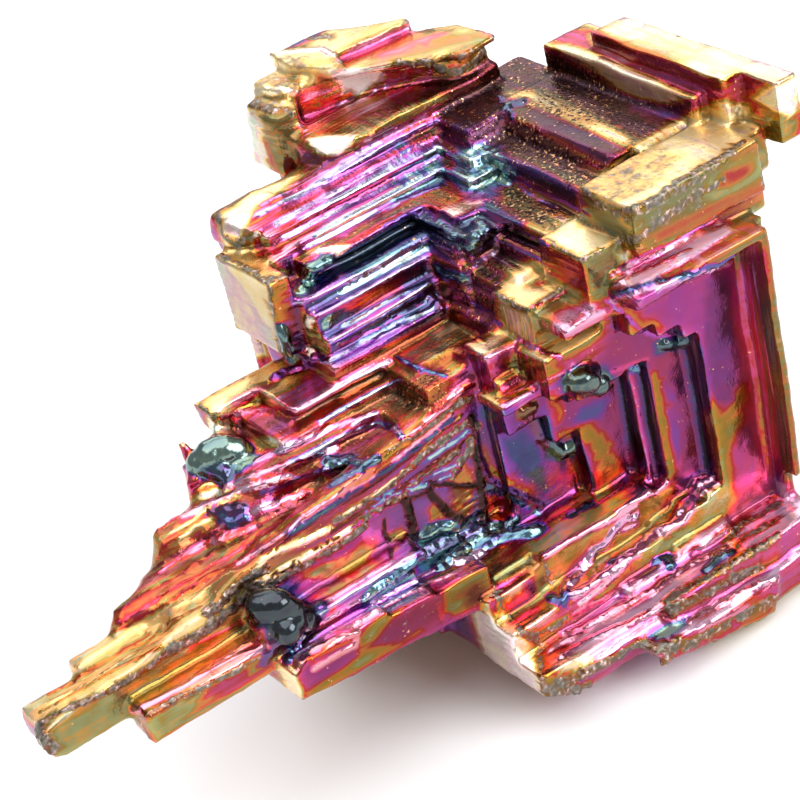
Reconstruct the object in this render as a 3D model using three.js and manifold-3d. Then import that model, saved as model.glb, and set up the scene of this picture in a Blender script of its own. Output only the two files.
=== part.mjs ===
// A bismuth hopper crystal, grown as one piece: a stepped funnel open to the upper left, a second
// funnel sunk in the front face, a ridge between the two, and a long arm that runs out to the left.
// Millimetres, +Z up. The flat faces follow the three growth directions, which are X, Y and Z.
// The front face looks towards -Y and the long arm runs out along -X.
import * as THREE from "three";
import { mergeVertices } from "three/addons/utils/BufferGeometryUtils.js";
import Module from "manifold-3d";

const wasm = await Module();
wasm.setup();

// Driving dimensions.
const BASE = -3.2; // height of the plane that the crystal rests on
const RIM_TOP = 30.0; // height of the upper funnel's rim
const FRONT_DEPTH = 2.5; // how far the front funnel's first step goes in
const RIM_INSIDE = 21.4; // inner face of the front funnel's right rim
const RIGHT = 23.4; // right face of the main mass
const ARM_TIP = -27.4; // where the long arm ends
const ARM_FRONT = 8.7; // front face of the long arm
const ARM_BACK = 12.4; // back face of the long arm
const LIP = 0.5; // thickness of an overhanging lip
const STEP = 3.0; // how far a plain ledge goes down, into the ledges below it

// A closed three.js geometry as a solid that can be joined and cut.
function solid(geometry) {
  geometry.deleteAttribute("normal");
  geometry.deleteAttribute("uv");
  const merged = mergeVertices(geometry, 1e-4);
  return new wasm.Manifold(
    new wasm.Mesh({
      numProp: 3,
      vertProperties: merged.attributes.position.array,
      triVerts: new Uint32Array(merged.index.array),
    }),
  );
}

// The block between two opposite corners.
function block([x0, x1], [y0, y1], [z0, z1]) {
  const box = new THREE.BoxGeometry(x1 - x0, y1 - y0, z1 - z0);
  box.translate((x0 + x1) / 2, (y0 + y1) / 2, (z0 + z1) / 2);
  return solid(box);
}

// A level plate with the given outline in plan.
function plate(outline, [z0, z1]) {
  const shape = new THREE.Shape(outline.map(([x, y]) => new THREE.Vector2(x, y)));
  const slab = new THREE.ExtrudeGeometry(shape, { depth: z1 - z0, bevelEnabled: false });
  slab.translate(0, 0, z0);
  return solid(slab);
}

// An upright fin with the given outline in X and Z, between two depths.
function fin(outline, [y0, y1]) {
  const shape = new THREE.Shape(outline.map(([x, z]) => new THREE.Vector2(x, z)));
  const slab = new THREE.ExtrudeGeometry(shape, { depth: y1 - y0, bevelEnabled: false });
  slab.rotateX(Math.PI / 2);
  slab.translate(0, y1, 0);
  return solid(slab);
}

// A drop of metal that froze where it hung.
function drop([x, y, z], [rx, ry, rz]) {
  const ball = new THREE.IcosahedronGeometry(1, 1);
  ball.scale(rx, ry, rz);
  ball.translate(x, y, z);
  return solid(ball);
}

const join = (solids) => solids.reduce((all, next) => all.add(next));
const cut = (body, solids) => solids.reduce((rest, next) => rest.subtract(next), body);

// Terraces of the upper funnel, from the rim down, each topped at z. In plan each one turns three
// corners: the left arm faces the front at leftY from leftX to its corner, a short jog faces the
// front at jogY from the corner to jogX, and the right arm faces left at jogX up to headY.
const TERRACES = [
  { z: 26.7, leftY: 21.7, leftX: -1.0, corner: 14.5, jogY: 18.4, jogX: 17.2, headY: 7.6, back: 25.0 },
  { z: 26.15, leftY: 21.1, leftX: -0.5, corner: 14.2, jogY: 17.9, jogX: 16.8, headY: 7.8, back: 24.6 },
  { z: 25.55, leftY: 20.5, leftX: 0.2, corner: 13.5, jogY: 17.2, jogX: 15.9, headY: 8.0, back: 24.2 },
  { z: 24.75, leftY: 19.4, leftX: 0.8, corner: 12.5, jogY: 16.3, jogX: 15.0, headY: 8.2, back: 24.0 },
  { z: 24.0, leftY: 17.5, leftX: 0.9, corner: 9.9, jogY: 13.9, jogX: 11.6, headY: 7, back: 23.4, lip: LIP },
  { z: 23.5, leftY: 18.0, leftX: 0.9, corner: 10.4, jogY: 14.6, jogX: 12.2, headY: 7.0, back: 23.4 },
  { z: 22.8, leftY: 16.4, leftX: -0.8, corner: 8.6, jogY: 13.0, jogX: 10.9, headY: 7.6, back: 23.0 },
  { z: 21.9, leftY: 15.6, leftX: -0.6, corner: 8.2, jogY: 12.4, jogX: 9.6, headY: 8.4, back: 23.0 },
  { z: 21.5, leftY: 15.9, leftX: -0.2, corner: 8.4, jogY: 12.6, jogX: 8.6, headY: 8.6, back: 22.6 },
  { z: 20.5, leftY: 14.8, leftX: -0.6, corner: 7.9, jogY: 11.8, jogX: 8.2, headY: 8.8, back: 22.4 },
  { z: 19.3, leftY: 13.7, leftX: -1.2, corner: 7.4, jogY: 11.0, jogX: 7.6, headY: 8.8, back: 22.0 },
  { z: 18.2, leftY: 13.4, leftX: -4.7, corner: 2.7, jogY: 10.8, jogX: 5.2, headY: 9, back: 19.4, lip: LIP },
  { z: 17.7, leftY: 13.9, leftX: -4.7, corner: 3.2, jogY: 11.3, jogX: 5.6, headY: 8.9, back: 19.4 },
  { z: 17.1, leftY: 12.7, leftX: -6.4, corner: 2.0, jogY: 10.6, jogX: 4.0, headY: 9.2, back: 18.4 },
  { z: 16.1, leftY: 12.0, leftX: -9.2, corner: 0.2, jogY: 10.4, jogX: 1.8, headY: 9.4, back: 17.6 },
  { z: 15.0, leftY: 11.9, leftX: -10.9, corner: -3.4, jogY: 10.2, jogX: -1.4, headY: 9.6, back: 16.8 },
  { z: 13.9, leftY: 11.5, leftX: -12.2, corner: -6.0, jogY: 10.0, jogX: -4.6, headY: 9.6, back: 16.2 },
  { z: 12.7, leftY: 11.0, leftX: -15.6, corner: -11.0, jogY: 9.8, jogX: -9.0, headY: 9.6, back: 15.2 },
];

// Ledges of the right arm above the terraces: each faces left at x and is topped at z.
const UPPER_RIGHT = [
  { x: 23.5, z: RIM_TOP, y: [4.0, 16.4] },
  { x: 24.7, z: RIM_TOP, y: [0.8, 4.4] },
  { x: 22.6, z: 28.7, y: [5.9, 20.3] },
  { x: 18.7, z: 26.85, y: [7.0, 19.6] },
];

// Stout heads of the right arm's ledges, standing on the ridge between the two funnels.
const HEADS = [
  { x: [13.55, 23.4], y: [1.4, 6.4], z: [23.4, 26.8] },
  { x: [13.55, 25.0], y: [2.6, 6.6], z: [23.8, 26.6] },
  { x: [13.2, 24.0], y: [2.3, 6.4], z: [21.6, 23.8] },
  { x: [10.6, 14.2], y: [3.0, 7.2], z: [20.6, 24.5] },
  { x: [8.0, 11.2], y: [5.6, 9.4], z: [17.8, 21.5] },
  { x: [5.4, 8.4], y: [7.1, 9.6], z: [15.6, 19.0] },
];

// The ridge as it falls from the last head to the tip of the long arm.
const RIDGE_LINE = [
  [7.6, 17.2],
  [5.2, 16.9],
  [3.0, 16.6],
  [0.4, 16.1],
  [-2.4, 15.8],
  [-4.2, 15.1],
  [-8.2, 14.6],
  [-9.4, 14.0],
  [-13.0, 13.4],
  [-15.2, 12.5],
  [-18.6, 12.0],
  [-20.4, 11.5],
  [-25.6, 11.2],
  [ARM_TIP + 0.5, 10.9],
  [ARM_TIP, 10.3],
  [ARM_TIP + 0.1, 9.2],
  [ARM_TIP + 1.0, 8.6],
  [-20.0, 8.3],
  [7.6, 8.0],
];

// The bar in front of the long arm, which sags towards the front funnel.
const MID_BAR = [
  [-13.3, 6.0],
  [1.0, 4.4],
  [1.0, 7.2],
  [-3.0, 7.7],
  [-13.3, 8.1],
];

// The lowest ledge of the front face, and the small foot to the left of it.
const KEEL = [
  [6.9, 0.2],
  [7.8, -1.3],
  [14.5, -2.5],
  [16.7, -2.9],
  [17.2, -0.6],
  [7.4, 0.4],
];
const FOOT = [
  [0.2, 0],
  [2.5, -1.2],
  [8.4, -1.4],
  [8.4, 0.4],
];

// The front funnel's recesses, each deeper and smaller than the last and open to the left.
const FRONT_RECESSES = [
  { right: RIM_INSIDE, floor: 1.65, roof: 21.4, depth: FRONT_DEPTH },
  { right: 17.6, floor: 4.6, roof: 16.1, depth: 4.2 },
  { right: 16.4, floor: 4.2, roof: 17.2, depth: 4.2 },
  { right: 14.6, floor: 3.9, roof: 18.2, depth: 4.2 },
  { right: 12.6, floor: 3.6, roof: 19.9, depth: 4.2 },
  { right: 14.7, floor: 5.6, roof: 14.9, depth: 5.3 },
  { right: 14.0, floor: 6.0, roof: 14.3, depth: 6.6 },
  { right: 9.2, floor: 6.0, roof: 15.8, depth: 6.6 },
  { right: 10.6, floor: 6.2, roof: 11.2, depth: 7.8 },
  { right: 8.4, floor: 6.2, roof: 13.4, depth: 7.8 },
  { right: 4.4, floor: 6.4, roof: 13.8, depth: 8.5 },
];

// Plates stacked at the upper left, as outlines in plan, from the rim down.
const UPPER_LEFT = [
  {
    outline: [
      [10.4, 26.7],
      [11.5, 26.4],
      [11.9, 28.1],
      [17.6, 27.4],
      [17.7, 28.0],
      [15.4, 29.7],
      [13.6, 31.6],
      [9.4, 31.9],
      [9.1, 29.6],
    ],
    z: [29.9, 30.9],
  },
  {
    outline: [
      [7.3, 27.4],
      [8.9, 27.9],
      [10.9, 27.6],
      [11.7, 26.4],
      [13.2, 25.2],
      [14.7, 24.4],
      [15.4, 22.6],
      [16.6, 22.8],
      [17.2, 21.3],
      [20.2, 21.7],
      [20.0, 25.6],
      [12.6, 30.6],
      [7.0, 31.2],
    ],
    z: [29.6, 30.1],
  },
  {
    outline: [
      [7.6, 28.2],
      [11.8, 27.2],
      [15.2, 24.8],
      [17.4, 22.6],
      [19.8, 22.4],
      [19.6, 25.4],
      [12.4, 30.2],
      [7.4, 30.6],
    ],
    z: [27.4, 29.8],
  },
  {
    outline: [
      [5.5, 26.6],
      [7.4, 26.2],
      [8.4, 28.0],
      [8.4, 30.8],
      [5.6, 30.6],
    ],
    z: [25.0, 29.4],
  },
  {
    outline: [
      [6.2, 24.4],
      [7.2, 22.6],
      [9.8, 22.0],
      [17.6, 21.9],
      [20.2, 22.0],
      [20.2, 26.0],
      [6.2, 27.0],
    ],
    z: [27.1, 27.9],
  },
];

// Frozen drops of metal: centre and half sizes.
const DROPS = [
  { at: [-12.4, 7.4, 10.2], size: [1.5, 1.5, 1.9] },
  { at: [-8.8, 16.4, 15.9], size: [1.8, 1.5, 1.4] },
  { at: [9.9, 4.3, 16.4], size: [1.2, 0.9, 0.9] },
  { at: [11.0, 14.2, 22.7], size: [0.9, 0.9, 0.8] },
];

// The funnels of the sides turned away. Each step goes one tread further in and leaves a ledge round it.
const FUNNEL_STEPS = 5;
const FUNNEL_TREAD = 1.15;
const FUNNEL_LEDGE = 1.05;

// A stepped funnel that sinks along one axis from a face. The other two spans are its mouth.
function funnel(axis, direction, face, first, second, scale = 1) {
  const cuts = [];
  for (let step = 0; step < FUNNEL_STEPS; step += 1) {
    const inset = step * FUNNEL_LEDGE * scale;
    const floor = face - direction * (step + 1) * FUNNEL_TREAD * scale;
    const outside = face + direction;
    const along = [Math.min(floor, outside), Math.max(floor, outside)];
    const a = [first[0] + inset * 0.8, first[1] - inset];
    const b = [second[0] + inset * 0.7, second[1] - inset * 0.9];
    if (axis === "x") cuts.push(block(along, a, b));
    if (axis === "y") cuts.push(block(a, along, b));
    if (axis === "z") cuts.push(block(a, b, along));
  }
  return cuts;
}

// A small crystal grown on the back, with a funnel in each of the faces that are open.
function sideCrystal([x0, x1], [y0, y1], [z0, z1], open) {
  const rim = 0.7;
  const scale = (Math.min(x1 - x0, y1 - y0, z1 - z0) - 2 * rim) / 11;
  const x = [x0 + rim, x1 - rim];
  const y = [y0 + rim, y1 - rim];
  const z = [z0 + rim, z1 - rim];
  const faces = {
    left: () => funnel("x", -1, x0, y, z, scale),
    right: () => funnel("x", 1, x1, y, z, scale),
    back: () => funnel("y", 1, y1, x, z, scale),
    top: () => funnel("z", 1, z1, x, y, scale),
  };
  return cut(block([x0, x1], [y0, y1], [z0, z1]), open.flatMap((face) => faces[face]()));
}

function sideCrystals() {
  return [
    sideCrystal([17.2, 25.6], [17.8, 26.2], [BASE, 5.8], ["right", "back", "top"]),
    sideCrystal([-0.8, 7.0], [20.6, 27.6], [BASE, 4.8], ["left", "back", "top"]),
    sideCrystal([19.4, 26.0], [19.0, 25.4], [9.4, 16.2], ["right", "back", "top"]),
    sideCrystal([1.2, 8.4], [22.2, 29.2], [8.0, 15.6], ["left", "back", "top"]),
    sideCrystal([13.0, 21.4], [22.0, 29.0], [13.6, 21.0], ["right", "back"]),
    sideCrystal([-6.8, -0.6], [13.4, 18.6], [0.4, 6.4], ["left", "back"]),
  ];
}

function mainMass() {
  return join([
    block([4.6, 22.2], [4.4, 21.0], [BASE, 1.6]),
    block([0, 21.0], [0, 7], [0, 5.3]),
    block([0, 22.3], [1.2, 7], [0, 6]),
    block([0, RIGHT], [3.1, 12], [0.2, 7.0]),
    block([-1.0, RIGHT - 0.6], [9.0, 22.4], [0.8, 14.2]),
    block([2.0, RIGHT], [9.0, 23.4], [9.0, 17.8]),
    block([9.0, RIGHT + 0.8], [12.0, 23.4], [16.0, 23.5]),
    block([11.9, 21.9], [0, 3], [4, 22.1]),
    block([11.9, 22.6], [1.2, 12], [4, 22.1]),
    block([7.4, RIGHT], [FRONT_DEPTH, 12], [4, 18.6]),
    block([5.4, RIGHT], [6.6, 12], [4, 17.2]),
    block([14.6, RIGHT + 1.2], [5.4, 20.4], [20.0, 25.6]),
    block([6.6, 20.0], [22.7, 29.6], [18.0, 27.6]),
    block([4.0, 19.4], [20.0, 27.6], [10.0, 24.0]),
  ]);
}

function terraces() {
  return TERRACES.flatMap(({ z, leftY, leftX, corner, jogY, jogX, headY, back, lip }) => {
    const layer = [z - (lip ?? STEP), z];
    const far = Math.max(jogX + 3, 9);
    return [
      block([leftX, far], [leftY, back], layer),
      block([corner, far], [jogY, back - 0.5], layer),
      block([jogX, Math.min(jogX + 6, RIGHT)], [headY, back - 1], layer),
    ];
  });
}

function upperRight() {
  return UPPER_RIGHT.map(({ x, z, y }) => block([x, 26.4], y, [z - 4, z]));
}

function heads() {
  return HEADS.map(({ x, y, z }) => block(x, y, z));
}

function leftEnds() {
  return [
    block([-2.4, -0.9], [16.9, 23.1], [19.3, 24.6]),
    block([-2.2, 1.4], [19.2, 23.2], [23.0, 24.6]),
    block([-1.4, 6.4], [22.6, 24.8], [24.6, 26.7]),
    block([-8.1, -2.0], [17.4, 19.5], [16.4, 18.2]),
    block([-11.4, -4.0], [15.6, 17.6], [14.0, 15.9]),
    block([-15.2, -6.0], [14.0, 16.0], [11.8, 14.5]),
    block([-19.6, -8.0], [12.2, 14.2], [10.4, 12.6]),
    block([-23.2, -10.0], [11.6, 13.3], [9.4, 11.3]),
    block([-10.4, -9.2], [18.4, 19.6], [14.8, 16.7]),
    block([-10.2, -6.0], [16.6, 19.0], [13.9, 15.6]),
  ];
}

function longArm() {
  return [
    fin(RIDGE_LINE, [ARM_FRONT, 10.2]),
    block([ARM_TIP + 0.4, 0], [9.0, ARM_BACK], [8.5, 10.6]),
    block([-21.8, -2], [6.6, 9.4], [7.5, 9.6]),
    fin(MID_BAR, [4.8, 9]),
    block([-12.6, -6.4], [4.8, 6.0], [7.2, 8.5]),
    block([-12.0, 0.4], [6.6, 7.4], [7.0, 8.3]),
    block([-11.2, 1.6], [7.4, 9], [7.0, 8.8]),
    block([-17, 3], [9.2, 15.4], [6.6, 12.4]),
    block([-11, 3], [10, 16.4], [5.0, 13.4]),
    block([-5, 3], [11, 18], [3.4, 15.0]),
  ];
}

function frontLedges() {
  return [
    block([12.2, 20.4], [0.9, 3], [20.6, 22.5]),
    block([8.4, 12.3], [2.9, 5.8], [19.9, 20.9]),
    block([4.6, 9.1], [5.3, 8], [15.8, 16.5]),
    block([4.3, 13.4], [4.2, 5.4], [1.6, 6.1]),
    block([3.9, 6.4], [2.5, 4.4], [0.6, 3.7]),
    block([12.8, 17.0], [1.7, 3], [1.2, 2.6]),
    block([8.4, 13.4], [1.5, 3], [1.2, 2.2]),
    block([9.6, RIGHT - 0.4], [-0.9, 1], [-1.9, 1.7]),
    fin(KEEL, [-2.1, 4.6]),
    fin(FOOT, [0, 4.6]),
    block([11.6, 22.6], [-1.6, 2], [-2.6, -0.1]),
    block([2.6, 9.0], [-0.6, 1], [0, 0.9]),
    block([5.4, 20.0], [2.0, 5], [BASE, 0.2]),
  ];
}

function notches() {
  return [
    block([0.5, 2.6], [0.7, 2.6], [3.4, 6.4]),
    block([0.9, 4.6], [-1, 1.9], [2.4, 6.0]),
    block([2.4, 9.8], [-1, 1.2], [1.5, 6.0]),
    block([-3, 3.8], [-3, 4.9], [5.3, 9.0]),
    block([-3, 2.2], [4.9, 8.7], [7.4, 9.0]),
  ];
}

function awayFunnels() {
  return [
    ...funnel("x", 1, RIGHT - 0.6, [8.6, 18.0], [2.4, 13.4]),
    ...funnel("x", 1, RIGHT + 0.8, [8.0, 18.8], [14.8, 25.0]),
    ...funnel("y", 1, 23.4, [6.6, 18.6], [2.2, 13.0]),
    ...funnel("y", 1, 29.6, [8.4, 18.6], [20.0, 27.2]),
    ...funnel("z", -1, BASE, [6.6, 20.4], [6.4, 19.2]),
  ];
}

function frontRecesses() {
  const openLeft = -6;
  const inFront = -3;
  return FRONT_RECESSES.map(({ right, floor, roof, depth }) =>
    block([openLeft, right], [inFront, depth], [floor, roof]),
  );
}

let crystal = cut(mainMass(), frontRecesses());
crystal = join([crystal, ...terraces(), ...upperRight(), ...leftEnds(), ...longArm()]);
crystal = cut(crystal, [...notches(), ...awayFunnels()]);
crystal = join([
  crystal,
  ...heads(),
  ...frontLedges(),
  ...sideCrystals(),
  ...UPPER_LEFT.map(({ outline, z }) => plate(outline, z)),
  ...DROPS.map(({ at, size }) => drop(at, size)),
]);

// Back to a three.js mesh, with flat shading as the crystal's faces are flat.
const { vertProperties, triVerts } = crystal.getMesh();
const geometry = new THREE.BufferGeometry();
geometry.setAttribute("position", new THREE.BufferAttribute(new Float32Array(vertProperties), 3));
geometry.setIndex(new THREE.BufferAttribute(new Uint32Array(triVerts), 1));

const film = new THREE.MeshStandardMaterial({
  color: 0xb0508a,
  roughness: 0.28,
  metalness: 1,
  flatShading: true,
});
const mesh = new THREE.Mesh(geometry, film);
mesh.name = "bismuth_crystal";

// The origin is the middle of the plane that the crystal rests on.
const bounds = new THREE.Box3().setFromObject(mesh);
const middle = bounds.getCenter(new THREE.Vector3());
mesh.position.set(-middle.x, -middle.y, -bounds.min.z);

const part = new THREE.Group();
part.add(mesh);

export default part;
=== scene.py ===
# A bismuth hopper crystal, seen in the studio. The solid from the frame is copied, given its frozen
# drops, ribs and fine growth lines, and painted with the colours of its thin oxide film.
from collections import namedtuple

import bpy
import numpy as np
from mathutils import Matrix, Vector
from mathutils.bvhtree import BVHTree
from mathutils.kdtree import KDTree


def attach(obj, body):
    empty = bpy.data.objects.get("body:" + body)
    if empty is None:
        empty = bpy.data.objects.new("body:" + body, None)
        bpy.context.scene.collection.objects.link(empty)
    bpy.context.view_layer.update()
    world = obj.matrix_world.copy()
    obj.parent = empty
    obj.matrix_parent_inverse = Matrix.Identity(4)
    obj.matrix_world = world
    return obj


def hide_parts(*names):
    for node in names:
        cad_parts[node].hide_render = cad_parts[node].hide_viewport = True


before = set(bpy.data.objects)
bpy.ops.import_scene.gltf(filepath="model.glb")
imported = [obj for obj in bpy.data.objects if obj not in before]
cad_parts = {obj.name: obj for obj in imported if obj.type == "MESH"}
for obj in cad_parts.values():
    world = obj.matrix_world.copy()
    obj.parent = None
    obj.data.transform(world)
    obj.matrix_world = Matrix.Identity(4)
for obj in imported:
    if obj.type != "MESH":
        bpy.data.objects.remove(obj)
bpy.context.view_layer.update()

MM = 0.001  # one millimetre, in metres
PICTURE = 800  # the photograph's width and height, in pixels

# The camera, at the photograph's viewing angle. Its place is in millimetres.
PICTURE_RIGHT = Vector((0.7911, -0.5761, -0.2058))
PICTURE_UP = Vector((0.4568, 0.3325, 0.8251))
TOWARDS_VIEWER = Vector((-0.4069, -0.7467, 0.5262))
CAMERA_PLACE = Vector((-56.85, -111.36, 95.64))
LENS = 108
SENSOR = 36
FOCUS = PICTURE * LENS / SENSOR  # how far away the picture's pixels stand, in pixels
PIXEL = 0.06  # what a pixel covers on the crystal, in millimetres
SEEN_DEPTH = 0.35  # a point this far behind the first thing in view is hidden, in millimetres


def camera():
    lens = bpy.data.cameras.new("camera")
    lens.lens = LENS
    lens.sensor_width = SENSOR
    lens.clip_start = 5 * MM
    lens.clip_end = 5
    seat = bpy.data.objects.new("camera", lens)
    bpy.context.scene.collection.objects.link(seat)
    turn = Matrix((PICTURE_RIGHT, PICTURE_UP, TOWARDS_VIEWER)).transposed()
    seat.matrix_world = Matrix.Translation(CAMERA_PLACE * MM) @ turn.to_4x4()
    bpy.context.scene.camera = seat


class Eye:
    """Looks from the camera through a pixel of the photograph at the solid, in millimetres."""

    def __init__(self, piece):
        activate(piece)
        self.tree = BVHTree.FromObject(piece, bpy.context.evaluated_depsgraph_get())

    def see(self, pixel):
        """The point of the solid behind a pixel, and the direction that its face looks in."""
        across = (pixel[0] - PICTURE / 2) / FOCUS
        down = (pixel[1] - PICTURE / 2) / FOCUS
        ray = PICTURE_RIGHT * across - PICTURE_UP * down - TOWARDS_VIEWER
        place, away, _, _ = self.tree.ray_cast(CAMERA_PLACE, ray.normalized())
        return None if place is None else (np.array(place), np.array(away))

    def follow(self, pixels, spacing):
        """What is seen along a line through the given pixels, that many pixels apart."""
        found = []
        for start, end in zip(pixels, pixels[1:]):
            start, end = Vector(start), Vector(end)
            steps = max(1, round((end - start).length / spacing))
            found += [self.see(start.lerp(end, step / steps)) for step in range(steps)]
        found.append(self.see(pixels[-1]))
        return [point for point in found if point is not None]

    def look(self, points):
        """The pixel that each point is at, and 1 for the points that the camera sees."""
        away = points - np.array(CAMERA_PLACE)
        depth = -away @ np.array(TOWARDS_VIEWER)
        across = PICTURE / 2 + FOCUS * (away @ np.array(PICTURE_RIGHT)) / depth
        down = PICTURE / 2 - FOCUS * (away @ np.array(PICTURE_UP)) / depth
        seen = np.zeros(len(points))
        for number, ray in enumerate(away):
            ray = Vector(ray)
            distance = self.tree.ray_cast(CAMERA_PLACE, ray.normalized())[3]
            seen[number] = distance is None or distance > ray.length - SEEN_DEPTH
        return np.stack([across, down], axis=1), seen


# Working on a piece as by hand.
def deselect():
    if bpy.context.mode != "OBJECT":
        bpy.ops.object.mode_set(mode="OBJECT")
    bpy.ops.object.select_all(action="DESELECT")


def activate(piece):
    deselect()
    piece.select_set(True)
    bpy.context.view_layer.objects.active = piece


def resize(piece, factor):
    activate(piece)
    piece.scale = (factor, factor, factor)
    bpy.ops.object.transform_apply(location=True, rotation=True, scale=True)


def apply_modifier(piece, kind, **settings):
    activate(piece)
    modifier = piece.modifiers.new(kind.lower(), kind)
    for name, value in settings.items():
        setattr(modifier, name, value)
    bpy.ops.object.modifier_apply(modifier=modifier.name)


# Soft studio light: the name, place and size of each panel in metres, its power, and its colour.
PANELS = [
    ("back_panel", (0.34, 0.62, 0.50), (0.70, 0.50), 2.0, (1.0, 0.98, 0.94)),
    ("front_panel", (0.29, -0.54, 0.40), (0.50, 0.40), 4.0, (1.0, 1.0, 1.0)),
    ("top_panel", (-0.10, 0.0, 0.85), (1.10, 1.10), 8.6, (1.0, 1.0, 1.0)),
]
PANELS_AIM = Vector((0, 0, 0.015))
SURROUND_COLOUR = (0.95, 0.97, 1.0, 1)
SURROUND_STRENGTH = 0.46
FLOOR_SIZE = 3
FLOOR_COLOUR = (0.86, 0.86, 0.86, 1)
FLOOR_ROUGHNESS = 0.9


def soft_panel(name, place, size, power, colour):
    light = bpy.data.lights.new(name, "AREA")
    light.shape = "RECTANGLE"
    light.size, light.size_y = size
    light.energy = power
    light.color = colour
    lamp = bpy.data.objects.new(name, light)
    bpy.context.scene.collection.objects.link(lamp)
    lamp.location = place
    aim = PANELS_AIM - Vector(place)
    lamp.rotation_euler = aim.to_track_quat("-Z", "Y").to_euler()


def studio():
    deselect()
    bpy.ops.mesh.primitive_plane_add(size=FLOOR_SIZE)
    floor = bpy.context.active_object
    floor.name = "floor"
    paint = Paint("pale_floor")
    paint.set(Base_Color=FLOOR_COLOUR, Roughness=FLOOR_ROUGHNESS)
    floor.data.materials.append(paint.material)
    for panel in PANELS:
        soft_panel(*panel)
    world = bpy.data.worlds.new("surround")
    bpy.context.scene.world = world
    world.use_nodes = True
    background = world.node_tree.nodes["Background"]
    background.inputs["Color"].default_value = SURROUND_COLOUR
    background.inputs["Strength"].default_value = SURROUND_STRENGTH


# Shader arithmetic, written as plain sums.
class Wire:
    """An output of a node. Sums on wires add the nodes that work them out."""

    def __init__(self, paint, socket):
        self.paint = paint
        self.socket = socket

    def math(self, operation, *values):
        return self.paint.node("ShaderNodeMath", {"operation": operation}, values)

    def __add__(self, other):
        return self.math("ADD", self, other)

    __radd__ = __add__

    def __sub__(self, other):
        return self.math("SUBTRACT", self, other)

    def __rsub__(self, other):
        return self.math("SUBTRACT", other, self)

    def __mul__(self, other):
        return self.math("MULTIPLY", self, other)

    __rmul__ = __mul__

    def clamped(self):
        return self.paint.node("ShaderNodeClamp", {}, (self, 0.0, 1.0))


class Paint:
    """A material's nodes."""

    def __init__(self, name):
        self.material = bpy.data.materials.new(name)
        self.material.use_nodes = True
        self.tree = self.material.node_tree
        self.shader = self.tree.nodes["Principled BSDF"]

    def node(self, kind, settings, values, output=0):
        """Adds a node: its settings first, then the value or wire of each socket."""
        made = self.tree.nodes.new(kind)
        for name, value in settings.items():
            if name == "stops":
                self.set_stops(made.color_ramp, value)
            else:
                setattr(made, name, value)
        pairs = values.items() if isinstance(values, dict) else enumerate(values)
        for key, value in pairs:
            self.feed(made.inputs[key], value)
        return Wire(self, made.outputs[output])

    def feed(self, socket, value):
        if isinstance(value, Wire):
            self.tree.links.new(value.socket, socket)
        else:
            socket.default_value = value

    def set_stops(self, ramp, stops):
        while len(ramp.elements) > 1:
            ramp.elements.remove(ramp.elements[-1])
        ramp.elements[0].position, ramp.elements[0].color = stops[0]
        for position, shade in stops[1:]:
            ramp.elements.new(position).color = shade

    def ramp(self, wire, stops):
        return self.node("ShaderNodeValToRGB", {"stops": stops}, (wire,))

    def smooth_step(self, wire, low, high):
        settings = {"interpolation_type": "SMOOTHSTEP"}
        return self.node("ShaderNodeMapRange", settings, (wire, low, high, 0.0, 1.0))

    def noise(self, place, scale, detail):
        values = {"Vector": place, "Scale": scale, "Detail": detail, "Roughness": 0.5}
        return self.node("ShaderNodeTexNoise", {}, values)

    def attribute(self, name):
        return self.node("ShaderNodeAttribute", {"attribute_name": name}, {}, "Fac")

    def mix(self, factor, first, second, blend="MIX"):
        settings = {"data_type": "RGBA", "blend_type": blend}
        return self.node("ShaderNodeMix", settings, {0: factor, 6: first, 7: second}, 2)

    def set(self, **values):
        for name, value in values.items():
            self.feed(self.shader.inputs[name.replace("_", " ")], value)


def colour(red, green, blue):
    """A colour as seen on a screen, 0 to 255, as the light that a shader wants."""
    return tuple((part / 255) ** 2.2 for part in (red, green, blue)) + (1.0,)


# The film's colours as it gets thicker, from 0 to 1.
FILM_COLOURS = [
    (0.00, colour(204, 218, 190)),
    (0.035, colour(238, 230, 208)),
    (0.065, colour(230, 178, 186)),
    (0.10, colour(250, 228, 172)),
    (0.15, colour(244, 196, 112)),
    (0.175, colour(240, 168, 96)),
    (0.20, colour(206, 150, 66)),
    (0.225, colour(150, 152, 98)),
    (0.25, colour(158, 124, 36)),
    (0.31, colour(204, 114, 46)),
    (0.38, colour(188, 36, 32)),
    (0.45, colour(194, 62, 108)),
    (0.53, colour(164, 58, 136)),
    (0.61, colour(124, 66, 156)),
    (0.69, colour(82, 84, 142)),
    (0.77, colour(96, 138, 158)),
    (0.85, colour(160, 190, 168)),
    (0.92, colour(180, 160, 84)),
    (1.00, colour(214, 130, 100)),
]

# The crust, from its hollows to its high grains.
CRUST_COLOURS = [
    (0.32, colour(38, 30, 30)),
    (0.42, colour(96, 76, 66)),
    (0.52, colour(134, 118, 104)),
    (0.60, colour(176, 140, 136)),
    (0.70, colour(228, 212, 196)),
]

# What lies in and over the film's own colour: the pale of thin film and of painted highlights, a
# painted white sheen, painted gleams on the growth lines, pits, sparks that are partly painted
# glints, and crust.
PALE_FILM_AND_HIGHLIGHT = colour(196, 180, 186)
LINE_SHEEN = (0.95, 1.0, 0.95, 1.0)
LINE_GLEAM = colour(232, 206, 222)
PIT = colour(44, 18, 26)
SPARK = colour(244, 184, 130)
GREY_CRUMBS = colour(112, 116, 108)

# The growth lines are noise, drawn out along them: how fine it is across and along, per millimetre.
LINES_ACROSS = 2.6
LINES_ALONG = 0.10
RELIEF_DEPTH = 0.12 * MM
# The glassy coat of the dark drops.
DROP_ROUGHNESS = 0.06
DROP_GLASS = 2.4


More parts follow.
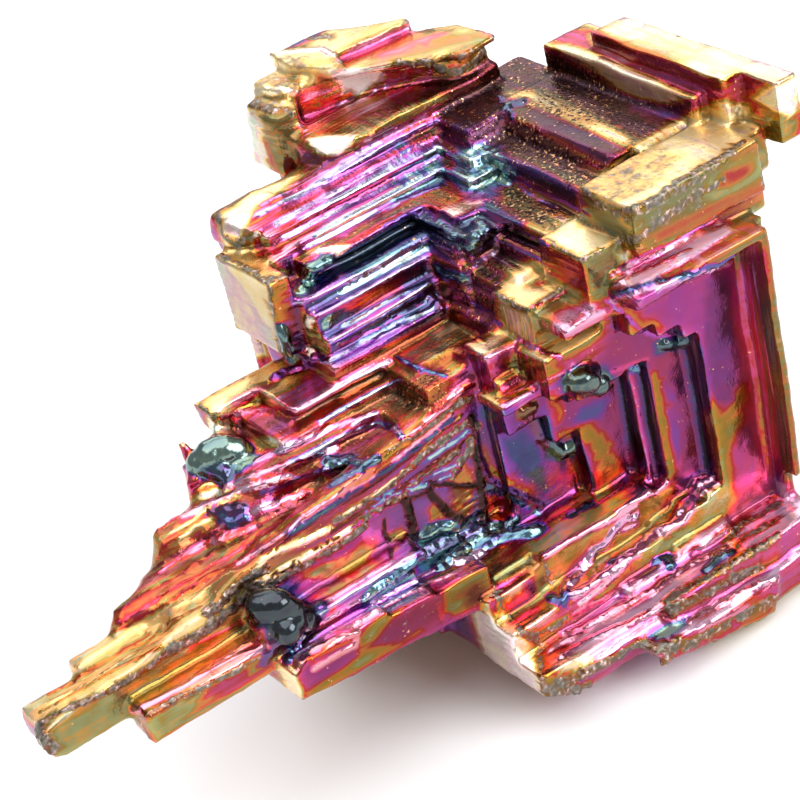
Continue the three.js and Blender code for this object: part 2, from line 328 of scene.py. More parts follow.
def film_paint():
    """The skin's look, from the attributes that each vertex has and from noise over them."""
    paint = Paint("oxide_film")
    metres = paint.node("ShaderNodeTexCoord", {}, {}, "Object")
    scaling = {0: metres, "Scale": 1 / MM}
    place = paint.node("ShaderNodeVectorMath", {"operation": "SCALE"}, scaling, "Vector")

    strengths = []
    drawn = []
    for axis, name in enumerate(("lines_x", "lines_y", "lines_z")):
        stretch = [LINES_ACROSS] * 3
        stretch[axis] = LINES_ALONG
        stretched = paint.node("ShaderNodeVectorMath", {"operation": "MULTIPLY"}, (place, stretch))
        strengths.append(paint.attribute(name))
        drawn.append((paint.noise(stretched, 1.0, 2.0) - 0.5) * strengths[axis])
    lines = drawn[0] + drawn[1] + drawn[2]
    lined = strengths[0] + strengths[1] + strengths[2]

    # The film: its thickness wanders and follows the growth lines, and so does its tone. The tone
    # holds darker and paler film together with painted shade and painted highlights.
    swirl = paint.noise(place, 0.7, 2.0) - 0.5
    broad = paint.noise(place, 0.22, 1.0) - 0.5
    film = paint.attribute("film") + broad * 0.10 + swirl * 0.10 + lines * 1.1
    tone = paint.attribute("tone") * (lines * 3.2 + 1.0) + swirl * 0.15
    shade = paint.ramp(film.clamped(), FILM_COLOURS)
    # Multiplying by the tone darkens the film: darker film, and painted shade by facing and in
    # hollows.
    dark = (tone * 0.95 + 0.04).clamped()
    grey = paint.node("ShaderNodeCombineXYZ", {}, (dark, dark, dark))
    shade = paint.mix(1.0, shade, grey, "MULTIPLY")
    # Tones over 1 go pale: pale film, and painted highlights on glints, lenses and bright facets.
    pale = ((tone - 1.0) * 1.3).clamped()
    shade = paint.mix(pale, shade, PALE_FILM_AND_HIGHLIGHT, "SCREEN")
    # A painted sheen: a little white over the film everywhere, more where the growth lines run.
    shade = paint.mix(lined.clamped() * 0.025 + 0.015, shade, LINE_SHEEN)
    # Painted highlights: pinkish-white gleams along the crests of the growth lines.
    shade = paint.mix(paint.smooth_step(lines, 0.09, 0.2) * 0.65, shade, LINE_GLEAM)

    # Speckles: dark pits and small bright sparks; the sparks are golden grains with painted glints.
    blotch = paint.noise(place, 1.1, 2.0)
    spark = paint.noise(place, 4.6, 2.0)
    speckle = paint.attribute("speckle")
    patchy = (blotch - 0.5) * 0.35
    sparks = paint.smooth_step(spark + speckle * 0.12 + patchy, 0.72, 0.80)
    pits = paint.smooth_step(patchy - spark + speckle * 0.1, -0.38, -0.30) * speckle
    shade = paint.mix(pits.clamped(), shade, PIT)
    shade = paint.mix(sparks * 0.9, shade, SPARK)

    # The crust: grains of brown, grey and cream.
    grit = paint.noise(place, 3.2, 3.0)
    crust = paint.smooth_step(grit * 0.6 + blotch * 0.6 + paint.attribute("crust"), 0.95, 1.25)
    crumbs = paint.ramp(grit, CRUST_COLOURS)
    crumbs = paint.mix(paint.smooth_step(blotch, 0.45, 0.6) * 0.6, crumbs, GREY_CRUMBS)
    shade = paint.mix(crust, shade, crumbs)

    # The relief and the gloss. The palest facets, painted highlights of glare, are white, not
    # metallic.
    fine = paint.noise(place, 6.0, 3.0)
    coarse = paint.noise(place, 1.2, 2.0)
    height = fine * 0.30 + coarse * 0.60 + grit * crust * 1.6 + lines * 2.0 + spark * speckle * 1.5
    relief = {"Strength": 0.3, "Distance": RELIEF_DEPTH, "Height": height}
    gold = paint.smooth_step(film, 0.26, 0.14)
    white = paint.smooth_step(paint.attribute("tone"), 2.3, 2.7)
    paint.set(
        Base_Color=shade,
        Metallic=(1.0 - white * 0.8 - paint.attribute("matt") * 0.6).clamped(),
        Roughness=crust * 0.28 + gold * 0.12 + fine * 0.14 + speckle * 0.12 + 0.10,
        Normal=paint.node("ShaderNodeBump", {}, relief, "Normal"),
        Coat_Weight=paint.attribute("gloss"),
        Coat_Roughness=DROP_ROUGHNESS,
        Coat_IOR=DROP_GLASS,
    )
    return paint.material


# Zones of the skin: the middle and half size in millimetres, and the film on the faces that look
# along X, along Y and up. Then the tone of the same faces (under 1 darker, over 1 paler), with
# painted shade and painted light by the way the faces look; how much of the edges is crusted, how
# speckled the skin is, how strong its growth lines are, how matt.
ZONES = [
    ("plate tops", (13, 12, 33), (9, 7, 2.2), (0.14, 0.2, 0.13),
     (1.0, 0.8, 0.8), 0.6, 0.1, 0.5, 0.4),
    ("cave under the plates", (13.5, 10.5, 31), (7, 3, 1.5), (0.38, 0.38, 0.36),
     (0.7, 1.2, 1.0), 0.1, 0.2, 0.85, 0.0),
    ("lip under the cave", (13, 8.6, 30.4), (7, 1.8, 0.8), (0.26, 0.3, 0.2),
     (0.6, 0.35, 0.5), 0.4, 0.3, 0.85, 0.0),
    ("upper rods, left", (3, 5, 28), (5, 4, 2.0), (0.16, 0.46, 0.44),
     (1.3, 0.7, 1.2), 0.3, 0.0, 0.6, 0.0),
    ("upper rods, middle", (9, 5, 28), (4, 4, 2.0), (0.5, 0.52, 0.55),
     (0.8, 0.8, 1.6), 0.1, 0.1, 0.5, 0.0),
    ("upper corner", (13.4, 3, 27.8), (2.2, 4.5, 2.2), (0.55, 0.78, 0.8),
     (0.3, 0.8, 0.7), 0.1, 0.4, 0.5, 0.0),
    ("right terraces", (19, 0, 29), (6.5, 10, 2.6), (0.4, 0.38, 0.28),
     (1.2, 0.16, 0.13), 0.5, 0.9, 0.5, 0.0),
    ("middle tread", (8, 1, 27.0), (9, 4, 0.6), (0.5, 0.6, 0.34),
     (0.5, 0.9, 0.75), 0.1, 0.7, 0.4, 0.0),
    ("pocket", (11, -2, 25.5), (2.4, 3, 2.4), (0.6, 0.74, 0.72),
     (0.2, 0.3, 0.25), 0.1, 0.6, 0.5, 0.0),
    ("middle rods", (3.5, 0.8, 24.3), (5.5, 3, 2.4), (0.2, 0.6, 0.62),
     (0.7, 0.2, 1.1), 0.1, 0.2, 0.45, 0.0),
    ("middle right arm", (10.5, -5, 24), (2.5, 4, 2.6), (0.45, 0.5, 0.34),
     (0.7, 0.35, 0.24), 0.2, 0.8, 0.85, 0.0),
    ("upper head", (14.5, -10, 27), (3, 3, 2.5), (0.22, 0.25, 0.14),
     (1.6, 0.58, 0.85), 0.4, 0.1, 0.08, 0.7),
    ("big head", (19.5, -11.5, 28.5), (5.6, 3.6, 2.0), (0.23, 0.25, 0.1),
     (0.95, 0.56, 0.95), 0.8, 0.2, 0.15, 0.5),
    ("lower head", (10.5, -8.5, 23.5), (2.5, 2.8, 2.2), (0.24, 0.25, 0.14),
     (1.2, 0.45, 1.0), 0.3, 0.1, 0.08, 0.7),
    ("pink ledge", (18.5, -13.8, 25.5), (6, 1.6, 0.9), (0.45, 0.46, 0.49),
     (1.0, 0.5, 2.1), 0.0, 0.0, 0.25, 0.8),
    ("olive strip", (18, -15, 24.6), (6, 1.2, 0.9), (0.25, 0.25, 0.3),
     (0.9, 0.3, 1.1), 0.1, 0.0, 0.3, 0.5),
    ("first panel", (20, -12.4, 17), (5, 1.4, 7), (0.78, 0.49, 0.47),
     (0.26, 0.66, 1.4), 0.0, 0.0, 0.04, 0.0),
    ("first panel, low", (18, -12.4, 10), (5, 1.4, 4), (0.78, 0.27, 0.44),
     (0.26, 0.58, 1.4), 0.0, 0.0, 0.04, 0.0),
    ("second panel", (15.5, -10.7, 15), (4, 1.2, 6.5), (0.76, 0.5, 0.5),
     (0.26, 0.44, 1.3), 0.0, 0.0, 0.04, 0.0),
    ("third panel", (11, -8.9, 14.5), (3.6, 1.2, 5), (0.76, 0.48, 0.5),
     (0.24, 0.42, 1.3), 0.0, 0.0, 0.04, 0.0),
    ("inner panel", (6.5, -7.0, 14), (3, 1.5, 4), (0.76, 0.6, 0.6),
     (0.3, 0.6, 1.2), 0.0, 0.0, 0.04, 0.0),
    ("right rim", (23.2, -14.5, 15), (1.6, 3, 11), (0.3, 0.28, 0.3),
     (0.3, 0.18, 0.5), 0.2, 0.0, 0.25, 0.3),
    ("front step", (9, -10.6, 7.5), (5, 2.4, 2.2), (0.4, 0.255, 0.25),
     (0.9, 0.65, 0.9), 0.0, 0.0, 0.05, 0.7),
    ("lower ledges", (13, -14, 4), (11, 3.5, 2.6), (0.45, 0.45, 0.5),
     (1.4, 0.8, 1.8), 0.7, 0.1, 0.35, 0.5),
    ("end plate", (0.6, -12.5, 4.5), (0.8, 4, 4), (0.068, 0.24, 0.3),
     (2.2, 0.7, 0.8), 0.6, 0.0, 0.05, 0.0),
    ("end hollow", (2.6, -13, 7), (1.6, 2, 2.2), (0.3, 0.33, 0.35),
     (0.6, 0.9, 1.1), 0.1, 0.0, 0.4, 0.0),
    ("middle bar", (-5, -10, 10), (7.5, 1.2, 2.4), (0.14, 0.5, 0.5),
     (1.3, 0.5, 1.3), 0.3, 0.0, 0.15, 0.0),
    ("trough", (-4, -7.5, 12.3), (7, 2.0, 1.4), (0.5, 0.54, 0.62),
     (0.5, 0.7, 1.6), 0.0, 0.0, 0.5, 0.0),
    ("trough mouth", (2.0, -6.6, 11.2), (3, 1.8, 1.6), (0.6, 0.7, 0.72),
     (0.3, 0.6, 0.7), 0.0, 0.3, 0.5, 0.0),
    ("arm's front", (-2, -6.2, 15.2), (8, 0.6, 2.2), (0.4, 0.57, 0.42),
     (0.5, 0.55, 0.8), 0.1, 0.0, 0.15, 0.6),
    ("melted stairs", (-11, -2.5, 18), (6.5, 4, 4), (0.2, 0.32, 0.33),
     (0.7, 0.55, 0.45), 0.2, 0.0, 0.4, 0.9),
    ("arm's tip, top", (-19, -4.5, 14.4), (9, 2.6, 1.2), (0.18, 0.18, 0.182),
     (1.5, 1.1, 1.0), 0.4, 0.1, 0.25, 0.9),
    ("arm's tip, front", (-20, -6.2, 12.6), (8, 1.2, 1.8), (0.2, 0.235, 0.26),
     (0.8, 0.7, 1.1), 0.4, 0.0, 0.25, 0.3),
    ("arm's lower bar", (-14, -8, 11.8), (6, 1.6, 1.8), (0.2, 0.3, 0.36),
     (0.8, 0.8, 1.5), 0.3, 0.0, 0.6, 0.4),
    ("lower rods", (-4, -2.5, 19), (9, 4, 3.0), (0.14, 0.4, 0.43),
     (1.4, 0.6, 0.9), 0.2, 0.1, 0.4, 0.2),
    ("left end plate", (-1.9, 5, 25.4), (1.0, 4, 3), (0.07, 0.3, 0.16),
     (0.45, 0.2, 1.4), 0.4, 0.0, 0.05, 0.0),
    ("dome", (-8.8, 1.2, 19.6), (2.4, 2.2, 2.2), (0.03, 0.05, 0.03),
     (1.4, 0.9, 1.1), 0.2, 0.2, 0.1, 0.0),
    ("dark drop", (-11, -7.0, 13.6), (1.6, 1.4, 1.6), (0.7, 0.72, 0.74),
     (0.4, 0.45, 0.5), 0.0, 0.0, 0.1, 0.0),
]
# The skin outside all zones: the same values, from the film on.
EVERYWHERE = ((0.48, 0.52, 0.24), (0.7, 0.7, 0.85), 0.3, 0.1, 0.3, 0.0)

# Patches of the skin that the camera sees: the film, tone, crust and speckle, and the outline in
# pixels of the photograph. Later patches lie over earlier ones. The palest ones are painted
# highlights, white facets of glare; the glint and glow patches are painted highlights too.
PATCHES = [
    # the terraces at the upper right
    ("top terrace, gold", 0.10, 1.1, 0.10, 0.1, [(560, 14), (798, 26), (798, 74), (760, 92),
        (742, 70), (700, 74), (640, 44), (596, 28)]),
    ("top terrace, grey", 0.20, 0.8, 0.45, 0.3, [(682, 24), (720, 26), (745, 36), (730, 44),
        (700, 38)]),
    ("top terrace, brown", 0.36, 0.25, 0.1, 0.4, [(728, 20), (798, 26), (798, 34), (740, 32)]),
    ("striped riser", 0.43, 0.8, 0.0, 0.3, [(530, 24), (562, 24), (600, 30), (640, 48), (690, 70),
        (712, 84), (726, 88), (736, 104), (716, 106), (696, 96), (652, 78), (606, 62), (566, 44),
        (544, 38)]),
    ("riser, pink end", 0.44, 1.8, 0.0, 0.1, [(592, 38), (606, 44), (640, 62), (624, 66),
        (596, 52)]),
    ("upper gold strip", 0.12, 1.3, 0.36, 0.1, [(556, 44), (596, 52), (640, 74), (688, 98),
        (664, 106), (640, 100), (612, 84), (596, 70), (566, 56)]),
    ("dark band", 0.43, 0.08, 0.0, 0.8, [(446, 84), (480, 62), (536, 26), (548, 50), (592, 76),
        (622, 92), (662, 108), (692, 102), (690, 116), (664, 134), (642, 140), (604, 116),
        (566, 98), (530, 86), (500, 94), (470, 96)]),
    ("dark band, violet glint", 0.58, 0.9, 0.0, 0.1, [(628, 104), (650, 112), (680, 114),
        (690, 106), (678, 122), (650, 122)]),
    ("second tread, glint", 0.22, 1.15, 0.0, 0.5, [(500, 94), (520, 88), (540, 92), (536, 102),
        (512, 100)]),
    ("second tread, brown", 0.18, 0.45, 0.0, 1.0, [(536, 92), (566, 102), (606, 122), (600, 136),
        (560, 118), (536, 106)]),
    ("second tread, gold", 0.13, 1.0, 0.1, 0.5, [(586, 124), (600, 122), (634, 142), (622, 150),
        (600, 142)]),
    ("violet riser", 0.5, 0.08, 0.0, 0.4, [(518, 112), (540, 108), (584, 130), (626, 150),
        (606, 164), (576, 148), (540, 130)]),
    ("maroon tread", 0.4, 0.08, 0.0, 0.9, [(494, 124), (520, 120), (562, 146), (590, 162),
        (560, 172), (520, 156), (500, 148)]),
    ("steel riser", 0.58, 0.2, 0.0, 0.5, [(500, 152), (530, 162), (586, 196), (582, 206),
        (548, 190), (510, 172)]),
    ("brown tread", 0.24, 0.25, 0.0, 1.0, [(494, 178), (520, 184), (560, 206), (596, 226),
        (570, 236), (520, 222), (500, 206)]),
    ("brown tread, glint", 0.3, 1.3, 0.0, 0.4, [(550, 216), (566, 212), (584, 224), (560, 234)]),
    # painted glow on the corner treads
    ("corner tread, glow", 0.29, 1.9, 0.0, 0.0, [(444, 208), (462, 200), (484, 198), (484, 206),
        (462, 216), (450, 218)]),
    ("corner tread, pink", 0.44, 1.9, 0.0, 0.0, [(466, 198), (486, 196), (484, 204), (468, 206)]),
    ("dark corner", 0.50, 0.1, 0.0, 0.7, [(442, 92), (470, 84), (500, 90), (512, 104), (500, 124),
        (504, 146), (480, 144), (458, 152), (442, 140), (438, 112)]),
    ("teal steps", 0.79, 0.95, 0.0, 0.2, [(456, 152), (480, 144), (502, 146), (508, 168),
        (506, 184), (480, 196), (462, 192), (450, 176)]),
    ("steps, violet", 0.58, 0.6, 0.0, 0.2, [(462, 196), (506, 184), (500, 198), (470, 204)]),
    ("red corner", 0.40, 0.65, 0.0, 0.2, [(724, 100), (744, 72), (772, 84), (754, 98), (738, 106)]),
    ("mint block", 0.01, 1.15, 0.08, 0.0, [(752, 96), (798, 76), (798, 114), (786, 118),
        (770, 108)]),
    ("mint block, front", 0.23, 0.6, 0.2, 0.1, [(758, 104), (770, 108), (798, 120), (798, 164),
        (784, 160), (764, 130)]),
    # the big block
    ("big block, top", 0.12, 0.95, 0.3, 0.1, [(580, 188), (622, 156), (672, 122), (720, 100),
        (752, 104), (758, 128), (730, 146), (690, 172), (650, 196), (626, 206)]),
    ("big block, top, brown", 0.165, 0.8, 0.44, 0.1, [(582, 188), (622, 160), (662, 146),
        (680, 160), (640, 196), (614, 204)]),
    ("big block, front", 0.25, 0.46, 0.36, 0.1, [(622, 214), (650, 200), (700, 172), (744, 146),
        (760, 150), (760, 178), (700, 214), (650, 238)]),
    ("big block, mint", 0.225, 0.7, 0.0, 0.0, [(702, 186), (740, 156), (762, 150), (764, 174),
        (730, 196), (706, 204)]),
    ("big block, oval", 0.38, 0.6, 0.05, 0.0, [(712, 188), (724, 172), (752, 163), (754, 170),
        (736, 182), (718, 190)]),
    ("big block, left end", 0.25, 0.42, 0.3, 0.1, [(578, 192), (610, 212), (632, 232), (638, 250),
        (622, 246), (596, 226)]),
    ("band under the big block", 0.34, 0.6, 0.1, 0.1, [(650, 236), (700, 210), (764, 180),
        (790, 188), (790, 202), (752, 208), (700, 226), (660, 240)]),
    ("band, olive", 0.25, 0.6, 0.0, 0.0, [(724, 222), (756, 204), (790, 200), (790, 214),
        (756, 224), (732, 232)]),
    # the panels, from the outer one inwards
    ("first panel, magenta", 0.52, 0.62, 0.0, 0.0, [(622, 302), (676, 276), (732, 262), (744, 300),
        (700, 340), (668, 330), (640, 318)]),
    ("first panel, spot", 0.31, 0.6, 0.0, 0.0, [(614, 306), (634, 312), (664, 320), (662, 332),
        (640, 326), (620, 316)]),
    ("first panel, grey", 0.55, 0.38, 0.25, 0.0, [(706, 278), (728, 272), (734, 330), (736, 400),
        (720, 412), (706, 380), (704, 330)]),
    ("first panel, right", 0.43, 1.0, 0.0, 0.0, [(738, 262), (748, 266), (766, 360), (778, 470),
        (770, 494), (748, 496), (744, 400)]),
    ("first panel, right glow", 0.34, 0.9, 0.0, 0.0, [(758, 372), (766, 400), (774, 450),
        (770, 480), (760, 440)]),
    ("first panel, olive", 0.245, 0.5, 0.0, 0.0, [(700, 408), (716, 406), (730, 424), (734, 440),
        (728, 452), (733, 466), (728, 482), (718, 482), (708, 440)]),
    ("front step, olive field", 0.25, 0.95, 0.0, 0.0, [(546, 556), (600, 526), (640, 508),
        (660, 498), (640, 540), (620, 556), (600, 580), (566, 606), (548, 584)]),
    ("first panel, foot", 0.25, 0.85, 0.0, 0.0, [(700, 494), (730, 480), (738, 498), (726, 514),
        (700, 532), (684, 548), (650, 564), (624, 576), (596, 600), (590, 590), (626, 556),
        (660, 540), (686, 516)]),
    ("first panel, low mauve", 0.48, 0.7, 0.1, 0.0, [(732, 440), (752, 420), (756, 470), (744, 500),
        (732, 490)]),
    ("second panel, violet", 0.58, 0.62, 0.0, 0.0, [(662, 388), (674, 396), (680, 440), (676, 462),
        (668, 440)]),
    ("second panel, olive", 0.25, 0.5, 0.0, 0.0, [(650, 372), (657, 372), (666, 410), (672, 450),
        (676, 478), (664, 482), (660, 450), (655, 415)]),
    ("second panel, foot", 0.25, 0.85, 0.0, 0.0, [(642, 502), (672, 484), (676, 494), (664, 506),
        (646, 522)]),
    ("third panel, top olive", 0.25, 0.5, 0.0, 0.0, [(498, 364), (514, 354), (532, 362), (562, 368),
        (564, 376), (545, 386), (526, 380), (510, 372)]),
    ("third panel, left", 0.31, 0.6, 0.0, 0.0, [(546, 398), (560, 390), (566, 410), (560, 426),
        (552, 420)]),
    ("third panel, oval", 0.68, 0.55, 0.0, 0.0, [(573, 420), (580, 408), (595, 401), (607, 401),
        (605, 412), (590, 421), (578, 428)]),
    ("third panel, olive", 0.26, 0.5, 0.0, 0.0, [(556, 434), (585, 422), (602, 432), (618, 450),
        (622, 468), (610, 482), (600, 494), (594, 470), (590, 448), (578, 438), (562, 442)]),
    ("third panel, low", 0.47, 0.6, 0.0, 0.0, [(610, 484), (626, 466), (628, 484), (612, 500)]),
    ("inner panel, violet", 0.60, 0.5, 0.0, 0.0, [(478, 424), (510, 406), (524, 414), (536, 440),
        (520, 460), (490, 446)]),
    ("inner panel, blue", 0.69, 0.42, 0.0, 0.0, [(500, 440), (524, 430), (540, 450), (546, 490),
        (534, 486), (516, 466)]),
    ("inner panel, olive", 0.26, 0.5, 0.0, 0.0, [(476, 440), (486, 448), (492, 464), (508, 478),
        (528, 488), (538, 500), (526, 504), (504, 494), (484, 478)]),
    ("inner panel, low", 0.3, 0.85, 0.0, 0.0, [(482, 500), (496, 494), (514, 512), (506, 522),
        (488, 524)]),
    ("side panel", 0.50, 0.6, 0.0, 0.0, [(546, 450), (560, 462), (576, 492), (570, 506),
        (554, 500)]),
    ("cell, left", 0.27, 0.75, 0.0, 0.0, [(428, 506), (444, 502), (458, 516), (440, 524),
        (430, 522)]),
    ("cell, top", 0.27, 0.75, 0.0, 0.0, [(448, 480), (462, 462), (474, 468), (474, 488),
        (458, 486)]),
    # the small blocks above the panels
    ("gold head, top", 0.135, 1.15, 0.0, 0.0, [(495, 287), (526, 269), (562, 288), (528, 307)]),
    ("gold head, oval", 0.41, 1.1, 0.0, 0.0, [(530, 284), (540, 278), (550, 282), (540, 289)]),
    ("gold head, front", 0.25, 0.46, 0.05, 0.1, [(530, 312), (566, 292), (568, 312), (550, 340),
        (536, 350)]),
    ("upper gold head, top", 0.11, 1.15, 0.05, 0.1, [(548, 236), (572, 218), (588, 230), (604, 246),
        (584, 256), (562, 248)]),
    ("upper gold head, front", 0.24, 0.46, 0.1, 0.1, [(584, 258), (608, 246), (618, 262),
        (604, 300), (590, 300)]),
    ("glitter ledge", 0.50, 1.35, 0.0, 0.5, [(552, 330), (552, 316), (584, 300), (604, 308),
        (580, 326), (556, 338)]),
    # the struts in the corner, and crumbs on the lower rods
    ("strut, dark hatch", 0.3, 0.2, 0.0, 0.2, [(452, 488), (472, 484), (476, 516), (460, 520),
        (450, 504)]),
    ("cell, violet", 0.60, 0.7, 0.0, 0.0, [(428, 488), (446, 484), (452, 498), (436, 500)]),
    ("cell, pink end", 0.47, 0.9, 0.0, 0.0, [(500, 500), (518, 506), (514, 524), (500, 518)]),
    ("small gold head", 0.15, 1.4, 0.0, 0.0, [(470, 350), (500, 330), (508, 334), (500, 346),
        (480, 356)]),
    ("lower rods, gaps", 0.33, 0.42, 0.05, 0.3, [(300, 412), (392, 364), (440, 374), (440, 400),
        (396, 440), (372, 474), (330, 500), (300, 512), (262, 530), (230, 540), (212, 528),
        (236, 500), (262, 470), (290, 440)]),
    ("pink crumb", 0.44, 1.35, 0.3, 0.1, [(430, 418), (440, 392), (458, 380), (464, 396),
        (450, 420), (432, 432)]),
    ("orange crumb", 0.31, 1.1, 0.0, 0.1, [(400, 420), (412, 412), (426, 418), (420, 440),
        (404, 446)]),
    ("orange crumb, low", 0.31, 1.0, 0.0, 0.1, [(366, 474), (380, 456), (396, 448), (392, 470),
        (374, 482)]),
    ("orange crumb, left", 0.30, 1.0, 0.0, 0.1, [(318, 494), (338, 486), (350, 490), (342, 504),
        (322, 506)]),
    ("brown hollow", 0.30, 0.45, 0.0, 0.8, [(396, 386), (430, 372), (450, 380), (444, 410),
        (420, 412), (398, 410)]),
    # the plates at the upper left
    ("plate, top", 0.13, 0.85, 0.24, 0.0, [(262, 52), (300, 24), (326, 10), (520, 12), (500, 42),
        (440, 66), (392, 62), (330, 80), (290, 86), (250, 80)]),
    ("plate, orange", 0.30, 1.0, 0.05, 0.0, [(330, 60), (352, 44), (420, 18), (450, 18), (420, 36),
        (384, 48), (346, 64)]),
    ("plate, pink streak", 0.42, 1.3, 0.0, 0.0, [(334, 62), (360, 46), (430, 16), (442, 18),
        (400, 38), (352, 58)]),
    ("plate, pink streak, right", 0.42, 1.1, 0.0, 0.0, [(446, 16), (476, 18), (496, 34), (492, 40),
        (470, 24)]),
    ("plate, rough", 0.18, 0.7, 0.5, 0.0, [(264, 48), (300, 24), (326, 12), (332, 20), (310, 40),
        (280, 52)]),
    ("plate, rough end", 0.22, 0.7, 0.45, 0.0, [(240, 80), (262, 66), (300, 74), (300, 92),
        (262, 104), (244, 98)]),
    # painted highlight: white glare on a facet of the plate
    ("plate, white facet", 0.02, 1.7, 0.0, 0.0, [(332, 70), (382, 68), (364, 92), (354, 94)]),
    ("slab under the plates, red", 0.385, 0.4, 0.0, 0.3, [(300, 96), (350, 100), (400, 84),
        (440, 72), (494, 64), (492, 84), (450, 98), (404, 122), (360, 144), (320, 150),
        (304, 138)]),
    ("slab, dark end", 0.4, 0.1, 0.0, 0.5, [(420, 92), (450, 78), (494, 64), (494, 88), (460, 100),
        (430, 108)]),
    ("cave, red", 0.38, 1.1, 0.0, 0.1, [(292, 94), (330, 78), (352, 92), (366, 98), (400, 76),
        (424, 66), (440, 74), (400, 96), (370, 112), (330, 132), (304, 138)]),
    ("cave, pink", 0.46, 1.3, 0.0, 0.0, [(298, 116), (330, 98), (344, 94), (334, 108), (306, 124)]),
    ("cave, orange", 0.33, 1.0, 0.0, 0.2, [(304, 134), (320, 122), (346, 116), (350, 126),
        (322, 134)]),
    ("lip, brown", 0.23, 0.45, 0.1, 0.3, [(308, 140), (350, 128), (390, 116), (440, 92), (450, 100),
        (400, 126), (350, 148), (322, 152)]),
    # painted highlight: a white lens of glare on the lip
    ("lip, white lens", 0.03, 1.6, 0.0, 0.0, [(310, 140), (322, 136), (350, 136), (344, 146),
        (324, 152)]),
    ("plate, left crust", 0.13, 0.9, 0.45, 0.0, [(244, 72), (262, 50), (296, 40), (318, 52),
        (300, 70), (272, 84), (250, 104)]),
    ("plate, mint", 0.88, 1.0, 0.15, 0.0, [(276, 40), (300, 24), (326, 14), (340, 18), (316, 36),
        (290, 48)]),
    ("plate, pink stripe", 0.44, 1.2, 0.0, 0.0, [(334, 60), (352, 48), (396, 28), (428, 13),
        (442, 14), (420, 27), (380, 45), (350, 62)]),
    ("plate, orange stripe", 0.30, 1.05, 0.05, 0.0, [(356, 68), (400, 50), (450, 36), (486, 29),
        (490, 36), (450, 46), (400, 60), (368, 72)]),
    ("plate, rose stripe", 0.43, 1.2, 0.0, 0.0, [(372, 56), (410, 40), (440, 30), (452, 32),
        (420, 44), (384, 60)]),
    ("plate, right end", 0.28, 0.9, 0.15, 0.0, [(440, 60), (470, 44), (500, 34), (510, 40),
        (498, 50), (462, 68)]),
    ("plate, left face", 0.03, 0.75, 0.12, 0.0, [(240, 110), (254, 114), (268, 150), (276, 182),
        (266, 184), (252, 156)]),
    ("plate, inner face", 0.23, 0.4, 0.15, 0.1, [(258, 116), (296, 106), (300, 140), (298, 168),
        (280, 178), (270, 150)]),
    ("pocket under the lip", 0.42, 0.35, 0.0, 0.1, [(300, 150), (322, 154), (350, 152), (330, 168),
        (304, 180)]),
    # the rods, the left end plate and the tail
    ("upper rods, left end", 0.10, 1.0, 0.25, 0.0, [(217, 214), (250, 192), (292, 178), (286, 190),
        (252, 212), (240, 240), (222, 236)]),
    # painted highlight: a white facet of glare
    ("upper rods, facet", 0.02, 1.6, 0.0, 0.0, [(226, 220), (240, 216), (236, 232)]),
    ("upper rods, teal end", 0.78, 0.95, 0.0, 0.1, [(394, 172), (440, 142), (446, 184), (420, 192),
        (390, 204)]),
    ("left end plate, pink", 0.068, 0.6, 0.0, 0.0, [(226, 276), (240, 284), (258, 320), (268, 356),
        (252, 358), (236, 320)]),
    ("left end plate, gold", 0.12, 0.62, 0.1, 0.0, [(216, 256), (236, 262), (266, 286), (272, 330),
        (262, 320), (244, 284), (226, 272)]),
    ("left end plate, top", 0.16, 0.9, 0.2, 0.0, [(216, 250), (250, 246), (288, 272), (270, 284),
        (240, 268)]),
    ("left end plate, side", 0.28, 0.6, 0.1, 0.1, [(268, 288), (288, 276), (292, 330), (288, 352),
        (276, 330)]),
    ("middle rods, top", 0.72, 0.35, 0.0, 0.3, [(330, 262), (380, 232), (424, 208), (440, 226),
        (436, 250), (380, 264), (340, 280)]),
    # painted highlight: a pale lens of glare
    ("middle rods, lens", 0.03, 1.5, 0.0, 0.0, [(306, 252), (326, 244), (346, 246), (336, 256),
        (316, 262)]),
    ("middle rods, glow", 0.33, 0.85, 0.0, 0.1, [(344, 308), (372, 290), (404, 276), (400, 290),
        (360, 310)]),
    ("middle rods, low glow", 0.34, 0.8, 0.0, 0.3, [(322, 376), (350, 360), (396, 340), (436, 334),
        (440, 350), (396, 356), (340, 378)]),
    ("low left block, top", 0.14, 1.05, 0.12, 0.0, [(200, 404), (250, 374), (300, 364), (296, 386),
        (250, 406), (222, 416)]),
    ("low left block, pink", 0.43, 1.1, 0.05, 0.0, [(224, 400), (258, 384), (280, 380), (250, 402),
        (232, 410)]),
    ("low left block, hollow", 0.42, 0.35, 0.0, 0.2, [(228, 424), (250, 418), (296, 418),
        (276, 434), (240, 440)]),
    ("melt, green", 0.86, 0.6, 0.0, 0.2, [(224, 470), (250, 452), (262, 456), (240, 474)]),
    ("rods, brown", 0.32, 0.5, 0.0, 0.4, [(300, 420), (340, 398), (390, 374), (396, 386),
        (350, 410), (312, 428)]),
    ("tail, gold", 0.14, 1.1, 0.05, 0.0, [(256, 552), (276, 534), (300, 524), (306, 532),
        (286, 548), (264, 560)]),
    ("tail, pink", 0.43, 1.1, 0.0, 0.0, [(262, 552), (282, 538), (296, 532), (286, 546),
        (268, 556)]),
    # the long arm, the trough and the middle bar
    ("tip, orange", 0.185, 1.0, 0.0, 0.0, [(60, 684), (120, 640), (190, 610), (214, 604),
        (176, 632), (110, 676), (64, 704)]),
    ("tip, gold", 0.176, 1.0, 0.0, 0.0, [(24, 716), (60, 700), (110, 672), (150, 650), (138, 668),
        (90, 694), (30, 724)]),
    ("tip, brown streaks", 0.33, 0.75, 0.1, 0.0, [(112, 620), (134, 590), (170, 574), (222, 560),
        (206, 576), (150, 606), (118, 628)]),
    ("tip, pink streaks", 0.34, 0.9, 0.0, 0.0, [(160, 588), (190, 576), (232, 564), (216, 580),
        (170, 600)]),
